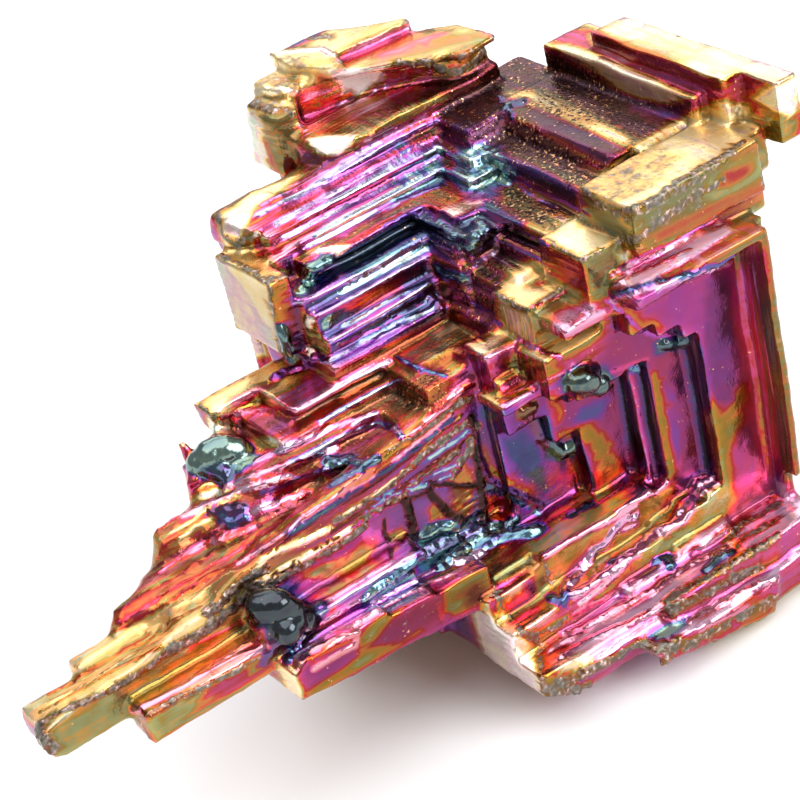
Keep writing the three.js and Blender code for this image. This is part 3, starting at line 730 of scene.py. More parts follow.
    ("tip, front", 0.22, 0.6, 0.1, 0.0, [(36, 740), (80, 716), (130, 692), (130, 712), (80, 744),
        (50, 758)]),
    ("ledge, olive", 0.25, 0.85, 0.0, 0.0, [(130, 694), (180, 664), (206, 644), (206, 656),
        (176, 686), (134, 706)]),
    ("ledge, orange", 0.33, 1.1, 0.0, 0.0, [(158, 688), (190, 666), (214, 640), (246, 632),
        (230, 652), (190, 680)]),
    ("ledge, red", 0.39, 1.15, 0.0, 0.0, [(140, 706), (190, 684), (236, 656), (262, 636),
        (262, 648), (220, 672), (160, 704)]),
    ("lower bar, green", 0.20, 0.7, 0.2, 0.0, [(142, 724), (176, 700), (204, 690), (196, 708),
        (158, 742)]),
    ("lower bar, magenta", 0.45, 0.6, 0.05, 0.0, [(206, 694), (232, 672), (252, 664), (250, 680),
        (226, 694)]),
    ("lower bar, olive", 0.25, 0.6, 0.0, 0.0, [(252, 664), (268, 656), (272, 670), (254, 682)]),
    ("arm front, purple", 0.54, 0.7, 0.0, 0.0, [(272, 584), (320, 544), (372, 512), (392, 520),
        (384, 550), (340, 580), (300, 590)]),
    ("arm front, olive", 0.25, 0.75, 0.0, 0.0, [(296, 578), (320, 563), (350, 553), (362, 540),
        (374, 545), (370, 560), (350, 573), (326, 578)]),
    ("arm front, end cell", 0.25, 0.65, 0.0, 0.0, [(386, 534), (400, 528), (408, 532), (400, 542),
        (388, 540)]),
    ("trough, lilac", 0.56, 1.2, 0.0, 0.0, [(306, 634), (360, 596), (420, 560), (456, 536),
        (462, 548), (420, 580), (366, 612), (318, 648)]),
    ("trough, teal", 0.78, 0.9, 0.0, 0.2, [(360, 606), (400, 576), (440, 548), (480, 534),
        (470, 556), (430, 574), (380, 604)]),
    ("middle bar, block end", 0.10, 1.0, 0.1, 0.0, [(278, 668), (290, 664), (302, 690), (300, 702),
        (288, 694)]),
    ("middle bar, magenta", 0.47, 0.42, 0.05, 0.0, [(306, 690), (350, 666), (400, 636), (440, 606),
        (462, 596), (440, 622), (400, 648), (346, 676)]),
    ("middle bar, grey", 0.44, 0.4, 0.28, 0.0, [(376, 634), (400, 612), (440, 592), (448, 604),
        (420, 626), (392, 642)]),
    ("middle bar, olive", 0.25, 0.55, 0.0, 0.0, [(360, 640), (376, 620), (404, 608), (396, 622),
        (380, 640), (362, 656)]),
    ("middle bar, olive band", 0.25, 0.55, 0.05, 0.0, [(304, 692), (340, 670), (372, 650),
        (396, 636), (420, 622), (424, 630), (398, 648), (360, 670), (330, 688), (308, 702)]),
    ("middle bar, mauve", 0.45, 0.3, 0.3, 0.0, [(372, 646), (392, 620), (420, 602), (440, 588),
        (456, 580), (462, 598), (430, 622), (396, 646)]),
    ("middle bar, right", 0.25, 0.4, 0.05, 0.1, [(444, 612), (446, 590), (470, 574), (490, 566),
        (490, 600), (456, 616)]),
    ("middle bar, dark end", 0.36, 0.12, 0.15, 0.0, [(458, 592), (476, 582), (486, 590), (484, 602),
        (466, 610)]),
    ("middle bar, foot", 0.26, 0.6, 0.0, 0.0, [(310, 698), (360, 676), (410, 652), (410, 658),
        (360, 684), (312, 702)]),
    # the lower right
    ("hollow, olive", 0.24, 0.3, 0.0, 0.2, [(486, 576), (500, 562), (530, 556), (534, 566),
        (506, 582), (492, 586)]),
    ("hollow, orange", 0.31, 1.15, 0.0, 0.0, [(500, 594), (512, 584), (526, 580), (520, 600),
        (506, 608)]),
    ("hollow, orange, low", 0.32, 1.05, 0.0, 0.3, [(514, 620), (524, 610), (556, 608), (560, 616),
        (532, 630)]),
    ("end plate, pink", 0.065, 1.7, 0.0, 0.0, [(506, 636), (520, 630), (534, 660), (536, 682),
        (520, 668)]),
    ("end plate, cream", 0.10, 1.6, 0.1, 0.0, [(496, 600), (508, 620), (530, 632), (542, 690),
        (534, 676), (526, 640), (504, 634)]),
    ("front step, olive", 0.25, 0.9, 0.0, 0.0, [(542, 566), (560, 550), (586, 538), (590, 546),
        (580, 568), (566, 590), (548, 592)]),
    ("front step, magenta", 0.45, 0.6, 0.0, 0.0, [(566, 572), (584, 552), (598, 536), (600, 548),
        (584, 572), (570, 584)]),
    ("front step, second", 0.26, 0.9, 0.0, 0.0, [(592, 548), (606, 530), (620, 524), (622, 540),
        (606, 560)]),
    ("ledge, dark", 0.45, 0.3, 0.2, 0.0, [(664, 604), (700, 588), (746, 570), (770, 560),
        (768, 574), (720, 590), (676, 612)]),
    ("ledge, orange end", 0.33, 0.9, 0.1, 0.0, [(744, 572), (778, 552), (780, 562), (756, 576)]),
    ("ledge, mint", 0.86, 1.0, 0.15, 0.0, [(640, 642), (664, 624), (692, 616), (684, 628),
        (656, 644)]),
    ("ledge, orange spot", 0.32, 0.9, 0.25, 0.0, [(664, 644), (676, 640), (684, 646), (672, 652)]),
    ("blue patch", 0.72, 1.0, 0.0, 0.1, [(654, 558), (668, 552), (676, 560), (664, 572),
        (656, 568)]),
    ("foot, pale", 0.15, 1.3, 0.2, 0.3, [(556, 662), (580, 652), (596, 660), (580, 672),
        (560, 674)]),
    # pale facets: painted highlights, white glare
    ("cave, pale facet", 0.03, 3.6, 0.0, 0.0, [(332, 71), (356, 69), (382, 70), (376, 80),
        (366, 88), (358, 95), (350, 88), (340, 81)]),
    ("slab, pale lens", 0.03, 3.6, 0.0, 0.0, [(310, 142), (324, 137), (340, 136), (352, 138),
        (348, 147), (334, 153), (318, 151)]),
    ("upper rods, pale lens", 0.03, 3.6, 0.0, 0.0, [(308, 252), (322, 246), (344, 246), (338, 256),
        (322, 262), (312, 259)]),
]
PATCH_RIM = 7.0  # a patch fades out over this many pixels

# Crusts, ribs and melted drops that stand on the skin: the kind, the film, the tone, how thick they
# are in millimetres, how uneven, and the line that each follows, in pixels of the photograph.
# Strokes with tones well over 1, the glints, gleams, bright melt and pale bars, are painted
# highlights.
Stroke = namedtuple("Stroke", "name kind film tone radius uneven line")
STROKES = [Stroke(*row) for row in (
    # the crusted crests and edges
    ("crest, tip", "crest", 0.3, 0.6, 0.13, 0.5, [(40, 722), (70, 706), (100, 696), (128, 682),
        (150, 668), (164, 652)]),
    ("crest, middle", "crest", 0.3, 0.6, 0.2, 0.5, [(164, 652), (186, 642), (206, 628), (228, 612),
        (246, 596), (262, 580)]),
    ("crest, middle, upper", "crest", 0.3, 0.6, 0.2, 0.5, [(206, 614), (226, 600), (240, 586),
        (256, 572), (270, 566)]),
    ("crest, pink loops", "melt", 0.068, 1.3, 0.22, 0.5, [(262, 582), (284, 568), (306, 556),
        (330, 542), (352, 528)]),
    ("crest, pink loops, upper", "melt", 0.09, 1.25, 0.2, 0.5, [(258, 566), (270, 554), (290, 546),
        (308, 540), (330, 528)]),
    ("crest, loops, dark", "rib", 0.38, 0.0, 0.14, 0.6, [(270, 576), (296, 562), (318, 548),
        (340, 534)]),
    ("crest, loops, grit", "crest", 0.3, 0.6, 0.15, 0.6, [(256, 590), (280, 578), (310, 562),
        (340, 544), (366, 526)]),
    ("crest, wires, dark", "rib", 0.36, 0.15, 0.15, 0.6, [(330, 532), (352, 518), (380, 502),
        (404, 486), (430, 466), (456, 446), (474, 430)]),
    ("crest, wires, upper", "crest", 0.3, 0.6, 0.16, 0.7, [(336, 520), (362, 504), (386, 488),
        (404, 472), (420, 456), (444, 440), (466, 422)]),
    ("crest, wires, middle", "crest", 0.3, 0.6, 0.16, 0.7, [(352, 526), (378, 510), (398, 498),
        (414, 482), (434, 466), (458, 452)]),
    ("crest, wires, pale", "melt", 0.06, 1.5, 0.10, 0.8, [(344, 514), (366, 500), (388, 484),
        (402, 470)]),
    ("crest, wires, rose", "melt", 0.45, 1.5, 0.12, 0.6, [(392, 462), (410, 446), (430, 432),
        (452, 414)]),
    ("crest, steel", "melt", 0.78, 1.2, 0.15, 0.4, [(366, 512), (380, 502), (398, 492), (412, 482),
        (424, 474)]),
    ("crest, steel, upper", "melt", 0.80, 1.2, 0.13, 0.4, [(430, 458), (446, 446), (460, 438),
        (470, 430)]),
    ("shoulder, dark wire", "rib", 0.72, 0.3, 0.17, 0.4, [(290, 534), (340, 500), (380, 474),
        (420, 446), (452, 420)]),
    ("shoulder, orange", "rib", 0.31, 1.0, 0.2, 0.5, [(340, 490), (370, 470), (392, 452),
        (410, 440)]),
    ("shoulder, pink", "rib", 0.46, 1.4, 0.17, 0.3, [(236, 566), (290, 528), (330, 500),
        (372, 476)]),
    ("shoulder, brown", "crust", 0.3, 0.3, 0.2, 0.5, [(392, 452), (420, 430), (446, 412),
        (468, 398)]),
    ("shoulder, steel", "melt", 0.74, 0.5, 0.24, 0.6, [(330, 486), (352, 472), (376, 460)]),
    ("shoulder, gold", "rib", 0.20, 1.0, 0.15, 0.4, [(404, 458), (424, 446), (440, 432),
        (460, 416)]),
    ("shoulder, rose", "rib", 0.44, 1.3, 0.17, 0.4, [(410, 436), (430, 420), (450, 404),
        (462, 390)]),
    ("shoulder, dark lower", "rib", 0.4, 0.2, 0.15, 0.4, [(262, 552), (300, 530), (350, 498),
        (390, 470), (430, 440)]),
    ("shoulder, olive", "rib", 0.25, 0.8, 0.15, 0.4, [(260, 540), (300, 514), (340, 488)]),
    ("tip, end", "crest", 0.3, 0.8, 0.28, 0.5, [(14, 720), (20, 742), (34, 752), (48, 758)]),
    ("tip, top edge", "crest", 0.3, 0.7, 0.18, 0.5, [(20, 706), (32, 690), (48, 676), (60, 666)]),
    ("tip, front end", "crest", 0.3, 0.6, 0.26, 0.5, [(36, 726), (44, 742), (52, 752)]),
    ("lower bar, edge", "crust", 0.3, 0.6, 0.12, 0.4, [(140, 720), (170, 704), (200, 690),
        (240, 668), (268, 652)]),
    ("lower bar, corner", "crust", 0.3, 0.5, 0.12, 0.4, [(140, 722), (154, 742)]),
    ("big head, front edge", "crust", 0.26, 0.6, 0.15, 0.5, [(620, 244), (636, 240), (650, 226),
        (676, 208), (700, 192), (722, 178)]),
    ("big head, upper edge", "crust", 0.26, 0.6, 0.14, 0.5, [(582, 190), (600, 206), (616, 214),
        (636, 208), (660, 192), (690, 174), (720, 156), (744, 142)]),
    ("big head, face", "crust", 0.26, 0.55, 0.1, 0.6, [(626, 220), (650, 206), (680, 190),
        (704, 176)]),
    ("head, edge", "crust", 0.22, 0.6, 0.10, 0.4, [(496, 292), (512, 304), (526, 310), (545, 300),
        (562, 290)]),
    ("upper head, edge", "crust", 0.22, 0.6, 0.10, 0.4, [(548, 238), (560, 248), (582, 260),
        (600, 250)]),
    ("plate, lower edge", "crust", 0.24, 0.65, 0.18, 0.6, [(396, 62), (412, 66), (424, 62),
        (440, 68), (452, 74), (464, 70), (480, 58), (496, 44)]),
    ("plate, left roll", "melt", 0.07, 1.25, 0.26, 0.4, [(262, 58), (276, 54), (300, 52), (322, 50),
        (334, 56)]),
    ("plate, roll shade", "crust", 0.3, 0.5, 0.16, 0.5, [(258, 46), (280, 42), (304, 40),
        (326, 38)]),
    ("plate, lower roll", "melt", 0.09, 1.2, 0.26, 0.4, [(246, 92), (262, 92), (282, 90),
        (298, 92)]),
    ("plate, lower roll shade", "crust", 0.3, 0.5, 0.18, 0.5, [(252, 104), (272, 110), (290, 110)]),
    ("plate, end", "crust", 0.3, 0.6, 0.2, 0.5, [(242, 80), (246, 92), (252, 104)]),
    ("left end plate, rim", "crust", 0.25, 0.7, 0.12, 0.3, [(216, 252), (236, 262), (256, 274),
        (268, 282), (288, 272)]),
    ("left end plate, edge", "crust", 0.25, 0.6, 0.10, 0.3, [(268, 284), (272, 310), (278, 340),
        (282, 358)]),
    ("upper rods, end edge", "crust", 0.25, 0.7, 0.16, 0.4, [(218, 214), (224, 236), (236, 244),
        (256, 236)]),
    ("low left, rim", "crust", 0.25, 0.7, 0.12, 0.3, [(200, 404), (210, 418), (222, 424)]),
    ("low left, lip", "rib", 0.45, 1.2, 0.16, 0.3, [(222, 418), (240, 414), (262, 410), (284, 410),
        (300, 408)]),
    ("end plate, edge", "crust", 0.28, 0.5, 0.13, 0.3, [(494, 590), (506, 612), (522, 634),
        (536, 640), (540, 664), (544, 694)]),
    ("end plate, top edge", "crust", 0.28, 0.55, 0.13, 0.4, [(532, 634), (552, 628), (566, 616)]),
    ("foot, lower edge", "crust", 0.28, 0.55, 0.26, 0.5, [(548, 692), (572, 692), (592, 684),
        (616, 670), (640, 656), (660, 658), (680, 662), (704, 650), (730, 638), (756, 626),
        (776, 614)]),
    ("foot, second edge", "crust", 0.28, 0.5, 0.24, 0.6, [(556, 684), (590, 672), (620, 656),
        (640, 644), (664, 646), (690, 644), (720, 626), (750, 612), (776, 600)]),
    ("ledge, upper edge", "crust", 0.26, 0.55, 0.18, 0.5, [(664, 604), (676, 594), (704, 578),
        (730, 564), (752, 552), (778, 536)]),
    ("ledge, face", "crust", 0.3, 0.35, 0.2, 0.6, [(668, 612), (700, 598), (730, 580), (760, 568)]),
    ("ledge, right end", "crust", 0.26, 0.6, 0.18, 0.5, [(728, 540), (740, 524), (760, 516),
        (778, 504)]),
    ("ledge, right end, low", "crust", 0.26, 0.6, 0.14, 0.5, [(736, 548), (744, 536), (760, 528),
        (778, 520)]),
    # pink ribs of the lower ledges
    ("low rib, first", "rib", 0.46, 1.4, 0.22, 0.4, [(566, 634), (590, 622), (620, 606), (650, 594),
        (662, 586)]),
    ("low rib, second", "rib", 0.45, 1.3, 0.18, 0.4, [(560, 656), (586, 640), (610, 630),
        (640, 618), (664, 606)]),
    ("low rib, third", "rib", 0.42, 1.3, 0.18, 0.4, [(548, 650), (560, 642), (580, 632)]),
    ("low rib, right", "rib", 0.47, 1.4, 0.22, 0.4, [(690, 622), (712, 610), (740, 594),
        (776, 578)]),
    ("low rib, right, low", "rib", 0.47, 1.3, 0.18, 0.4, [(700, 630), (730, 616), (748, 606)]),
    ("low rib, magenta", "rib", 0.49, 1.3, 0.16, 0.3, [(572, 612), (600, 600), (640, 580),
        (676, 558)]),
    ("low rib, rise", "rib", 0.45, 1.4, 0.22, 0.5, [(664, 584), (680, 572), (700, 560),
        (724, 548)]),
    ("low rib, rose", "rib", 0.44, 1.3, 0.18, 0.3, [(700, 548), (724, 532), (752, 512),
        (776, 498)]),
    # the zigzag ribs at the foot of the panels
    ("front step, top rib", "rib", 0.46, 1.5, 0.2, 0.2, [(544, 556), (580, 536), (606, 522),
        (636, 506)]),
    ("front step, corner", "crust", 0.3, 0.6, 0.12, 0.4, [(540, 556), (546, 574), (552, 590)]),
    ("zigzag, outer", "rib", 0.52, 1.5, 0.3, 0.5, [(712, 478), (700, 486), (690, 500), (680, 512),
        (672, 524), (656, 530), (644, 540), (636, 550), (624, 554), (616, 566), (602, 576),
        (590, 586), (574, 594)]),
    ("zigzag, outer, low", "rib", 0.47, 1.6, 0.2, 0.4, [(716, 484), (702, 492), (684, 520),
        (650, 540), (628, 562), (606, 584), (580, 604)]),
    ("zigzag, middle", "rib", 0.54, 1.5, 0.3, 0.5, [(636, 516), (622, 520), (612, 530), (606, 544),
        (594, 550), (588, 562), (576, 576), (564, 590)]),
    ("zigzag, inner", "rib", 0.50, 1.6, 0.2, 0.4, [(636, 524), (616, 532), (608, 540)]),
    ("second panel, foot rib", "rib", 0.46, 1.45, 0.17, 0.3, [(616, 510), (640, 498), (656, 492),
        (666, 484), (662, 478)]),
    ("second panel, inner rib", "rib", 0.50, 1.1, 0.09, 0.2, [(629, 374), (636, 410), (644, 450),
        (652, 484)]),
    ("third panel, foot rib", "rib", 0.56, 1.0, 0.12, 0.4, [(594, 506), (606, 498), (620, 490),
        (628, 476)]),
    ("third panel, side rib", "rib", 0.45, 0.9, 0.09, 0.2, [(578, 440), (584, 470), (594, 502)]),
    ("side panel, foot rib", "rib", 0.56, 1.0, 0.14, 0.4, [(546, 512), (560, 504), (574, 492)]),
    # the panels' upper rims
    ("first panel, beads", "melt", 0.70, 0.9, 0.17, 0.8, [(612, 296), (640, 288), (660, 282),
        (690, 276), (716, 266), (734, 256)]),
    ("first panel, rim", "rib", 0.54, 1.45, 0.17, 0.3, [(612, 302), (640, 292), (668, 284),
        (700, 274), (730, 264)]),
    ("second panel, rim", "rib", 0.56, 1.0, 0.14, 0.4, [(606, 300), (620, 314), (640, 330),
        (656, 336), (676, 336)]),
    ("second panel, inner rim", "rib", 0.48, 1.3, 0.10, 0.2, [(560, 338), (580, 330), (600, 320),
        (612, 312)]),
    ("third panel, rim", "rib", 0.47, 1.25, 0.12, 0.3, [(510, 394), (530, 386), (552, 378),
        (566, 372), (572, 364)]),
    ("third panel, right rim", "rib", 0.47, 0.9, 0.12, 0.4, [(612, 370), (630, 364), (648, 360)]),
    ("inner panel, rim", "rib", 0.50, 1.2, 0.12, 0.3, [(502, 406), (520, 398), (532, 392)]),
    ("inner panel, side", "rib", 0.60, 0.35, 0.26, 0.4, [(474, 432), (478, 456), (486, 478),
        (504, 488), (524, 498), (540, 506)]),
    ("pink ledge, streak", "rib", 0.47, 1.45, 0.17, 0.3, [(612, 276), (640, 260), (670, 248),
        (700, 234), (730, 224)]),
    ("pink ledge, streak, low", "rib", 0.46, 1.45, 0.17, 0.3, [(614, 286), (640, 272), (672, 258),
        (690, 250)]),
    ("pink ledge, streak, upper", "rib", 0.50, 1.0, 0.10, 0.3, [(620, 268), (650, 252), (690, 234),
        (720, 222)]),
    ("small ledge, rib", "rib", 0.47, 1.4, 0.11, 0.2, [(554, 336), (580, 326), (604, 314)]),
    ("gold head, rib", "rib", 0.47, 1.3, 0.09, 0.2, [(530, 308), (550, 300), (566, 292)]),
    ("small gold head, rib", "rib", 0.46, 1.3, 0.12, 0.3, [(482, 360), (498, 352), (512, 346),
        (520, 338)]),
    ("small gold head, side", "rib", 0.50, 1.1, 0.16, 0.3, [(520, 338), (532, 346), (546, 354),
        (560, 358)]),
    # drops
    ("dark drop", "melt", 0.74, 0.05, 0.95, 0.15, [(256, 604), (272, 600), (288, 606), (302, 616),
        (290, 630)]),
    # painted highlight on the dark drop
    ("dark drop, glint", "melt", 0.74, 2.2, 0.26, 0.3, [(266, 600), (274, 600), (280, 604)]),
    ("dark drop, right", "melt", 0.7, 0.9, 0.45, 0.5, [(300, 606), (312, 612), (318, 606)]),
    ("dark drop, blue side", "melt", 0.70, 1.0, 0.45, 0.3, [(300, 622), (304, 634), (298, 644)]),
    ("dark drop, tail", "melt", 0.73, 0.7, 0.36, 0.5, [(292, 632), (292, 648), (290, 658)]),
    ("dark drop, left tail", "melt", 0.60, 0.4, 0.36, 0.5, [(276, 640), (268, 650), (264, 660)]),
    ("corner drop", "melt", 0.8, 0.22, 0.72, 0.12, [(576, 382), (590, 384), (600, 384)]),
    ("corner drop, shade", "rib", 0.4, 0.12, 0.14, 0.3, [(570, 386), (582, 394), (600, 394),
        (612, 386)]),
    ("wall drop", "melt", 0.8, 0.25, 0.46, 0.3, [(552, 444), (562, 452), (572, 446)]),
    ("wall drop, upper", "melt", 0.3, 0.25, 0.42, 0.3, [(522, 412), (532, 408)]),
    ("wall drop, stem", "melt", 0.5, 0.25, 0.26, 0.4, [(528, 416), (536, 430), (546, 444)]),
    ("shoulder drop", "melt", 0.8, 0.25, 0.42, 0.3, [(664, 344), (676, 340), (684, 338)]),
    ("side drop", "melt", 0.76, 0.9, 0.24, 0.3, [(632, 368), (638, 370)]),
    ("pocket drop", "melt", 0.76, 0.45, 0.50, 0.3, [(478, 224), (486, 232), (476, 236)]),
    ("pocket drop, low", "melt", 0.78, 0.5, 0.24, 0.6, [(462, 246), (474, 252), (482, 244)]),
    ("rod drop", "melt", 0.6, 0.5, 0.36, 0.3, [(434, 300), (440, 308)]),
    ("rod corner", "melt", 0.78, 0.6, 0.26, 0.6, [(438, 268), (446, 274), (456, 276), (466, 280)]),
    ("rod corner, upper", "melt", 0.76, 0.5, 0.2, 0.6, [(440, 220), (448, 232), (456, 238)]),
    ("upper corner drop", "melt", 0.74, 0.3, 0.42, 0.3, [(508, 108), (514, 106), (520, 104)]),
    ("upper corner drop, tail", "melt", 0.72, 0.6, 0.2, 0.5, [(498, 98), (504, 104), (508, 110),
        (512, 118)]),
    ("step drop", "melt", 0.79, 0.6, 0.30, 0.5, [(502, 170), (512, 172), (508, 184), (500, 180)]),
    ("left melt", "melt", 0.82, 0.5, 0.95, 0.1, [(200, 462), (216, 450), (236, 450)]),
    ("left melt, dark", "melt", 0.72, 0.35, 0.55, 0.4, [(206, 466), (218, 470), (226, 476)]),
    ("left melt, low", "melt", 0.45, 1.0, 0.4, 0.4, [(188, 470), (196, 478), (192, 488)]),
    ("column melt", "melt", 0.80, 0.45, 0.36, 0.4, [(280, 330), (286, 342), (292, 356),
        (300, 366)]),
    ("column melt, foot", "melt", 0.58, 0.7, 0.34, 0.5, [(276, 378), (290, 370), (304, 366),
        (314, 360)]),
    ("middle rods, melt", "melt", 0.80, 0.6, 0.40, 0.5, [(300, 290), (306, 278), (316, 268),
        (330, 262)]),
    ("middle rods, knob", "melt", 0.79, 0.7, 0.26, 0.3, [(330, 318), (326, 324)]),
    # painted highlights: gleams on the middle rods
    ("middle rods, gleam", "melt", 0.12, 3.0, 0.22, 0.2, [(310, 320), (308, 324)]),
    ("middle rods, gleam, low", "melt", 0.12, 3.0, 0.2, 0.2, [(311, 349), (312, 352)]),
    ("lower rod melt", "melt", 0.74, 0.5, 0.42, 0.4, [(330, 462), (342, 466), (348, 460)]),
    ("lower rod melt, tail", "melt", 0.76, 0.8, 0.24, 0.5, [(348, 462), (362, 464), (372, 462)]),
    ("low left melt", "melt", 0.72, 0.7, 0.36, 0.4, [(224, 518), (234, 522), (244, 518)]),
    ("low left melt, upper", "melt", 0.6, 0.3, 0.3, 0.5, [(214, 512), (230, 508), (244, 508)]),
    ("blue drop", "melt", 0.73, 0.85, 0.30, 0.2, [(658, 562), (668, 558), (672, 566)]),
    ("step drop, low", "melt", 0.72, 0.6, 0.30, 0.5, [(550, 598), (560, 600), (566, 594)]),
    ("step drop, middle", "melt", 0.70, 0.4, 0.30, 0.4, [(612, 562), (620, 560)]),
    ("corner melt", "melt", 0.74, 0.5, 0.26, 0.5, [(706, 570), (716, 560), (730, 552)]),
    ("wall foot melt", "melt", 0.78, 0.6, 0.24, 0.6, [(570, 516), (580, 508), (590, 504)]),
    ("beads by the gold head", "melt", 0.3, 1.1, 0.24, 0.5, [(626, 246), (634, 248), (640, 246)]),
    # the melted floor of the trough
    ("trough melt", "melt", 0.79, 0.8, 0.5, 0.35, [(440, 566), (456, 552), (470, 546), (488, 540),
        (510, 536), (536, 530)]),
    ("trough melt, upper", "melt", 0.80, 0.7, 0.45, 0.35, [(424, 536), (440, 528), (456, 526),
        (470, 524)]),
    ("trough melt, dark", "melt", 0.70, 0.35, 0.36, 0.5, [(420, 556), (440, 546), (462, 538),
        (484, 530)]),
    ("trough melt, left", "melt", 0.78, 0.8, 0.3, 0.5, [(364, 600), (384, 584), (404, 570),
        (418, 560)]),
    # painted highlight: a bright glint on the trough's melt
    ("trough, bright melt", "melt", 0.72, 2.4, 0.32, 0.4, [(456, 562), (470, 558), (480, 552)]),
    ("bar, upper rib", "rib", 0.47, 1.45, 0.17, 0.3, [(356, 622), (380, 608), (420, 588),
        (460, 570), (480, 560)]),
    ("trough, lilac rib", "rib", 0.58, 1.35, 0.2, 0.3, [(370, 604), (400, 588), (430, 572),
        (456, 558)]),
    ("trough, pink rib", "rib", 0.50, 1.35, 0.2, 0.3, [(306, 634), (330, 620), (352, 606),
        (380, 588)]),
    ("trough, pink rib, upper", "rib", 0.52, 1.35, 0.2, 0.3, [(316, 606), (340, 592), (364, 578),
        (390, 560)]),
    ("bar, loop", "rib", 0.42, 1.35, 0.2, 0.3, [(306, 652), (326, 644), (346, 634), (358, 632),
        (356, 644), (336, 656), (314, 668)]),
    ("bar, loop, inner", "rib", 0.38, 0.9, 0.12, 0.3, [(308, 660), (330, 650), (350, 640)]),
    # the corner between the arm and the panels
    ("inner corner, crust", "crest", 0.3, 0.5, 0.2, 0.5, [(452, 474), (462, 460), (470, 450),
        (472, 436), (478, 424)]),
    ("strut, wire", "melt", 0.80, 1.1, 0.17, 0.7, [(376, 498), (392, 494), (408, 490), (427, 485)]),
    ("strut, wire, shade", "rib", 0.4, 0.0, 0.12, 0.5, [(380, 508), (404, 500), (427, 492)]),
    ("strut, wire, right", "rib", 0.4, 0.0, 0.16, 0.5, [(427, 484), (444, 482), (462, 484),
        (479, 484)]),
    ("strut, first", "rib", 0.38, 0.0, 0.26, 0.6, [(405, 500), (408, 512), (411, 524), (415, 536)]),
    # painted highlight: a glint on the strut
    ("strut, first, glint", "melt", 0.80, 1.6, 0.08, 0.6, [(414, 522), (416, 530), (420, 537)]),
    ("strut, second", "rib", 0.38, 0.0, 0.26, 0.4, [(470, 418), (474, 436), (477, 456), (480, 476),
        (482, 500), (485, 528)]),
    # painted highlight: a glint on the strut
    ("strut, second, glint", "melt", 0.80, 1.5, 0.07, 0.6, [(477, 478), (480, 484), (484, 490)]),
    ("strut, third", "melt", 0.72, 0.35, 0.16, 0.7, [(482, 486), (496, 490), (512, 498), (526, 505),
        (538, 514)]),
    # painted highlights: glints on the strut
    ("strut, third, glints", "melt", 0.80, 1.5, 0.07, 0.8, [(500, 494), (514, 500), (522, 506),
        (530, 508)]),
    ("strut, cross", "rib", 0.38, 0.0, 0.24, 0.5, [(427, 488), (434, 498), (444, 508), (456, 517),
        (470, 524)]),
    # painted highlights: pale bars of glare
    ("strut, pale bar", "rib", 0.77, 1.5, 0.08, 0.2, [(434, 473), (446, 468), (460, 463)]),
    ("strut, pale bar, low", "rib", 0.77, 1.3, 0.08, 0.2, [(438, 479), (450, 474), (463, 468)]),
    ("strut, hatch, 1", "rib", 0.13, 0.8, 0.06, 0.2, [(455, 500), (462, 494), (470, 488)]),
    ("strut, hatch, 2", "rib", 0.13, 0.8, 0.06, 0.2, [(456, 507), (464, 500), (472, 495)]),
    ("strut, hatch, 3", "rib", 0.13, 0.7, 0.06, 0.2, [(460, 512), (467, 506), (474, 502)]),
    ("strut, cell rim", "rib", 0.38, 0.0, 0.12, 0.5, [(384, 522), (383, 534), (390, 542),
        (402, 542), (409, 532), (408, 518)]),
    ("strut, foot", "melt", 0.76, 0.2, 0.2, 0.7, [(424, 528), (440, 524), (456, 522), (472, 524),
        (488, 526), (504, 526), (516, 520)]),
    ("arm, purple rib", "rib", 0.56, 1.0, 0.14, 0.3, [(342, 534), (360, 522), (380, 512)]),
    # the ribs of the upper rods
    ("upper rods, dark", "rib", 0.42, 0.4, 0.10, 0.2, [(300, 182), (350, 154), (400, 126),
        (440, 104)]),
    ("upper rods, 1", "rib", 0.56, 1.3, 0.17, 0.2, [(262, 206), (300, 186), (350, 158), (400, 130),
        (436, 112)]),
    ("upper rods, 2", "rib", 0.66, 1.3, 0.17, 0.2, [(260, 214), (300, 194), (350, 166), (400, 138),
        (438, 120)]),
    ("upper rods, 3", "rib", 0.45, 0.9, 0.09, 0.2, [(270, 216), (310, 196), (350, 176), (400, 150),
        (430, 134)]),
    ("upper rods, 4", "rib", 0.6, 1.3, 0.18, 0.2, [(276, 224), (320, 200), (370, 174), (410, 152),
        (436, 138)]),
    ("upper rods, 5", "rib", 0.68, 1.3, 0.15, 0.2, [(300, 218), (350, 192), (400, 164),
        (436, 146)]),
    ("upper rods, 6", "rib", 0.4, 0.8, 0.08, 0.2, [(282, 232), (330, 206), (380, 180), (420, 158)]),
    ("upper rods, 7", "rib", 0.6, 1.3, 0.18, 0.2, [(284, 238), (330, 214), (380, 188), (436, 158)]),
    ("upper rods, 8", "rib", 0.74, 1.3, 0.17, 0.2, [(316, 236), (350, 218), (400, 192),
        (440, 170)]),
    ("upper rods, 9", "rib", 0.64, 1.3, 0.14, 0.2, [(310, 246), (350, 226), (400, 202),
        (436, 188)]),
    ("upper rods, foot", "rib", 0.40, 1.0, 0.12, 0.3, [(322, 248), (350, 240), (390, 218),
        (424, 204), (436, 208)]),
    ("step, 1", "rib", 0.80, 1.25, 0.10, 0.3, [(464, 160), (480, 154), (500, 144)]),
    ("step, 2", "rib", 0.84, 1.3, 0.10, 0.3, [(466, 168), (484, 160), (502, 150)]),
    ("step, 3", "rib", 0.80, 1.25, 0.10, 0.3, [(466, 182), (484, 176), (504, 162)]),
    ("step, 4", "rib", 0.84, 1.2, 0.10, 0.3, [(468, 190), (486, 184), (506, 174)]),
    ("step, left", "rib", 0.80, 1.1, 0.10, 0.4, [(438, 146), (446, 152), (462, 162)]),
    ("step, left, low", "rib", 0.82, 1.1, 0.10, 0.4, [(438, 168), (448, 176), (466, 190)]),
    # the ribs of the middle rods
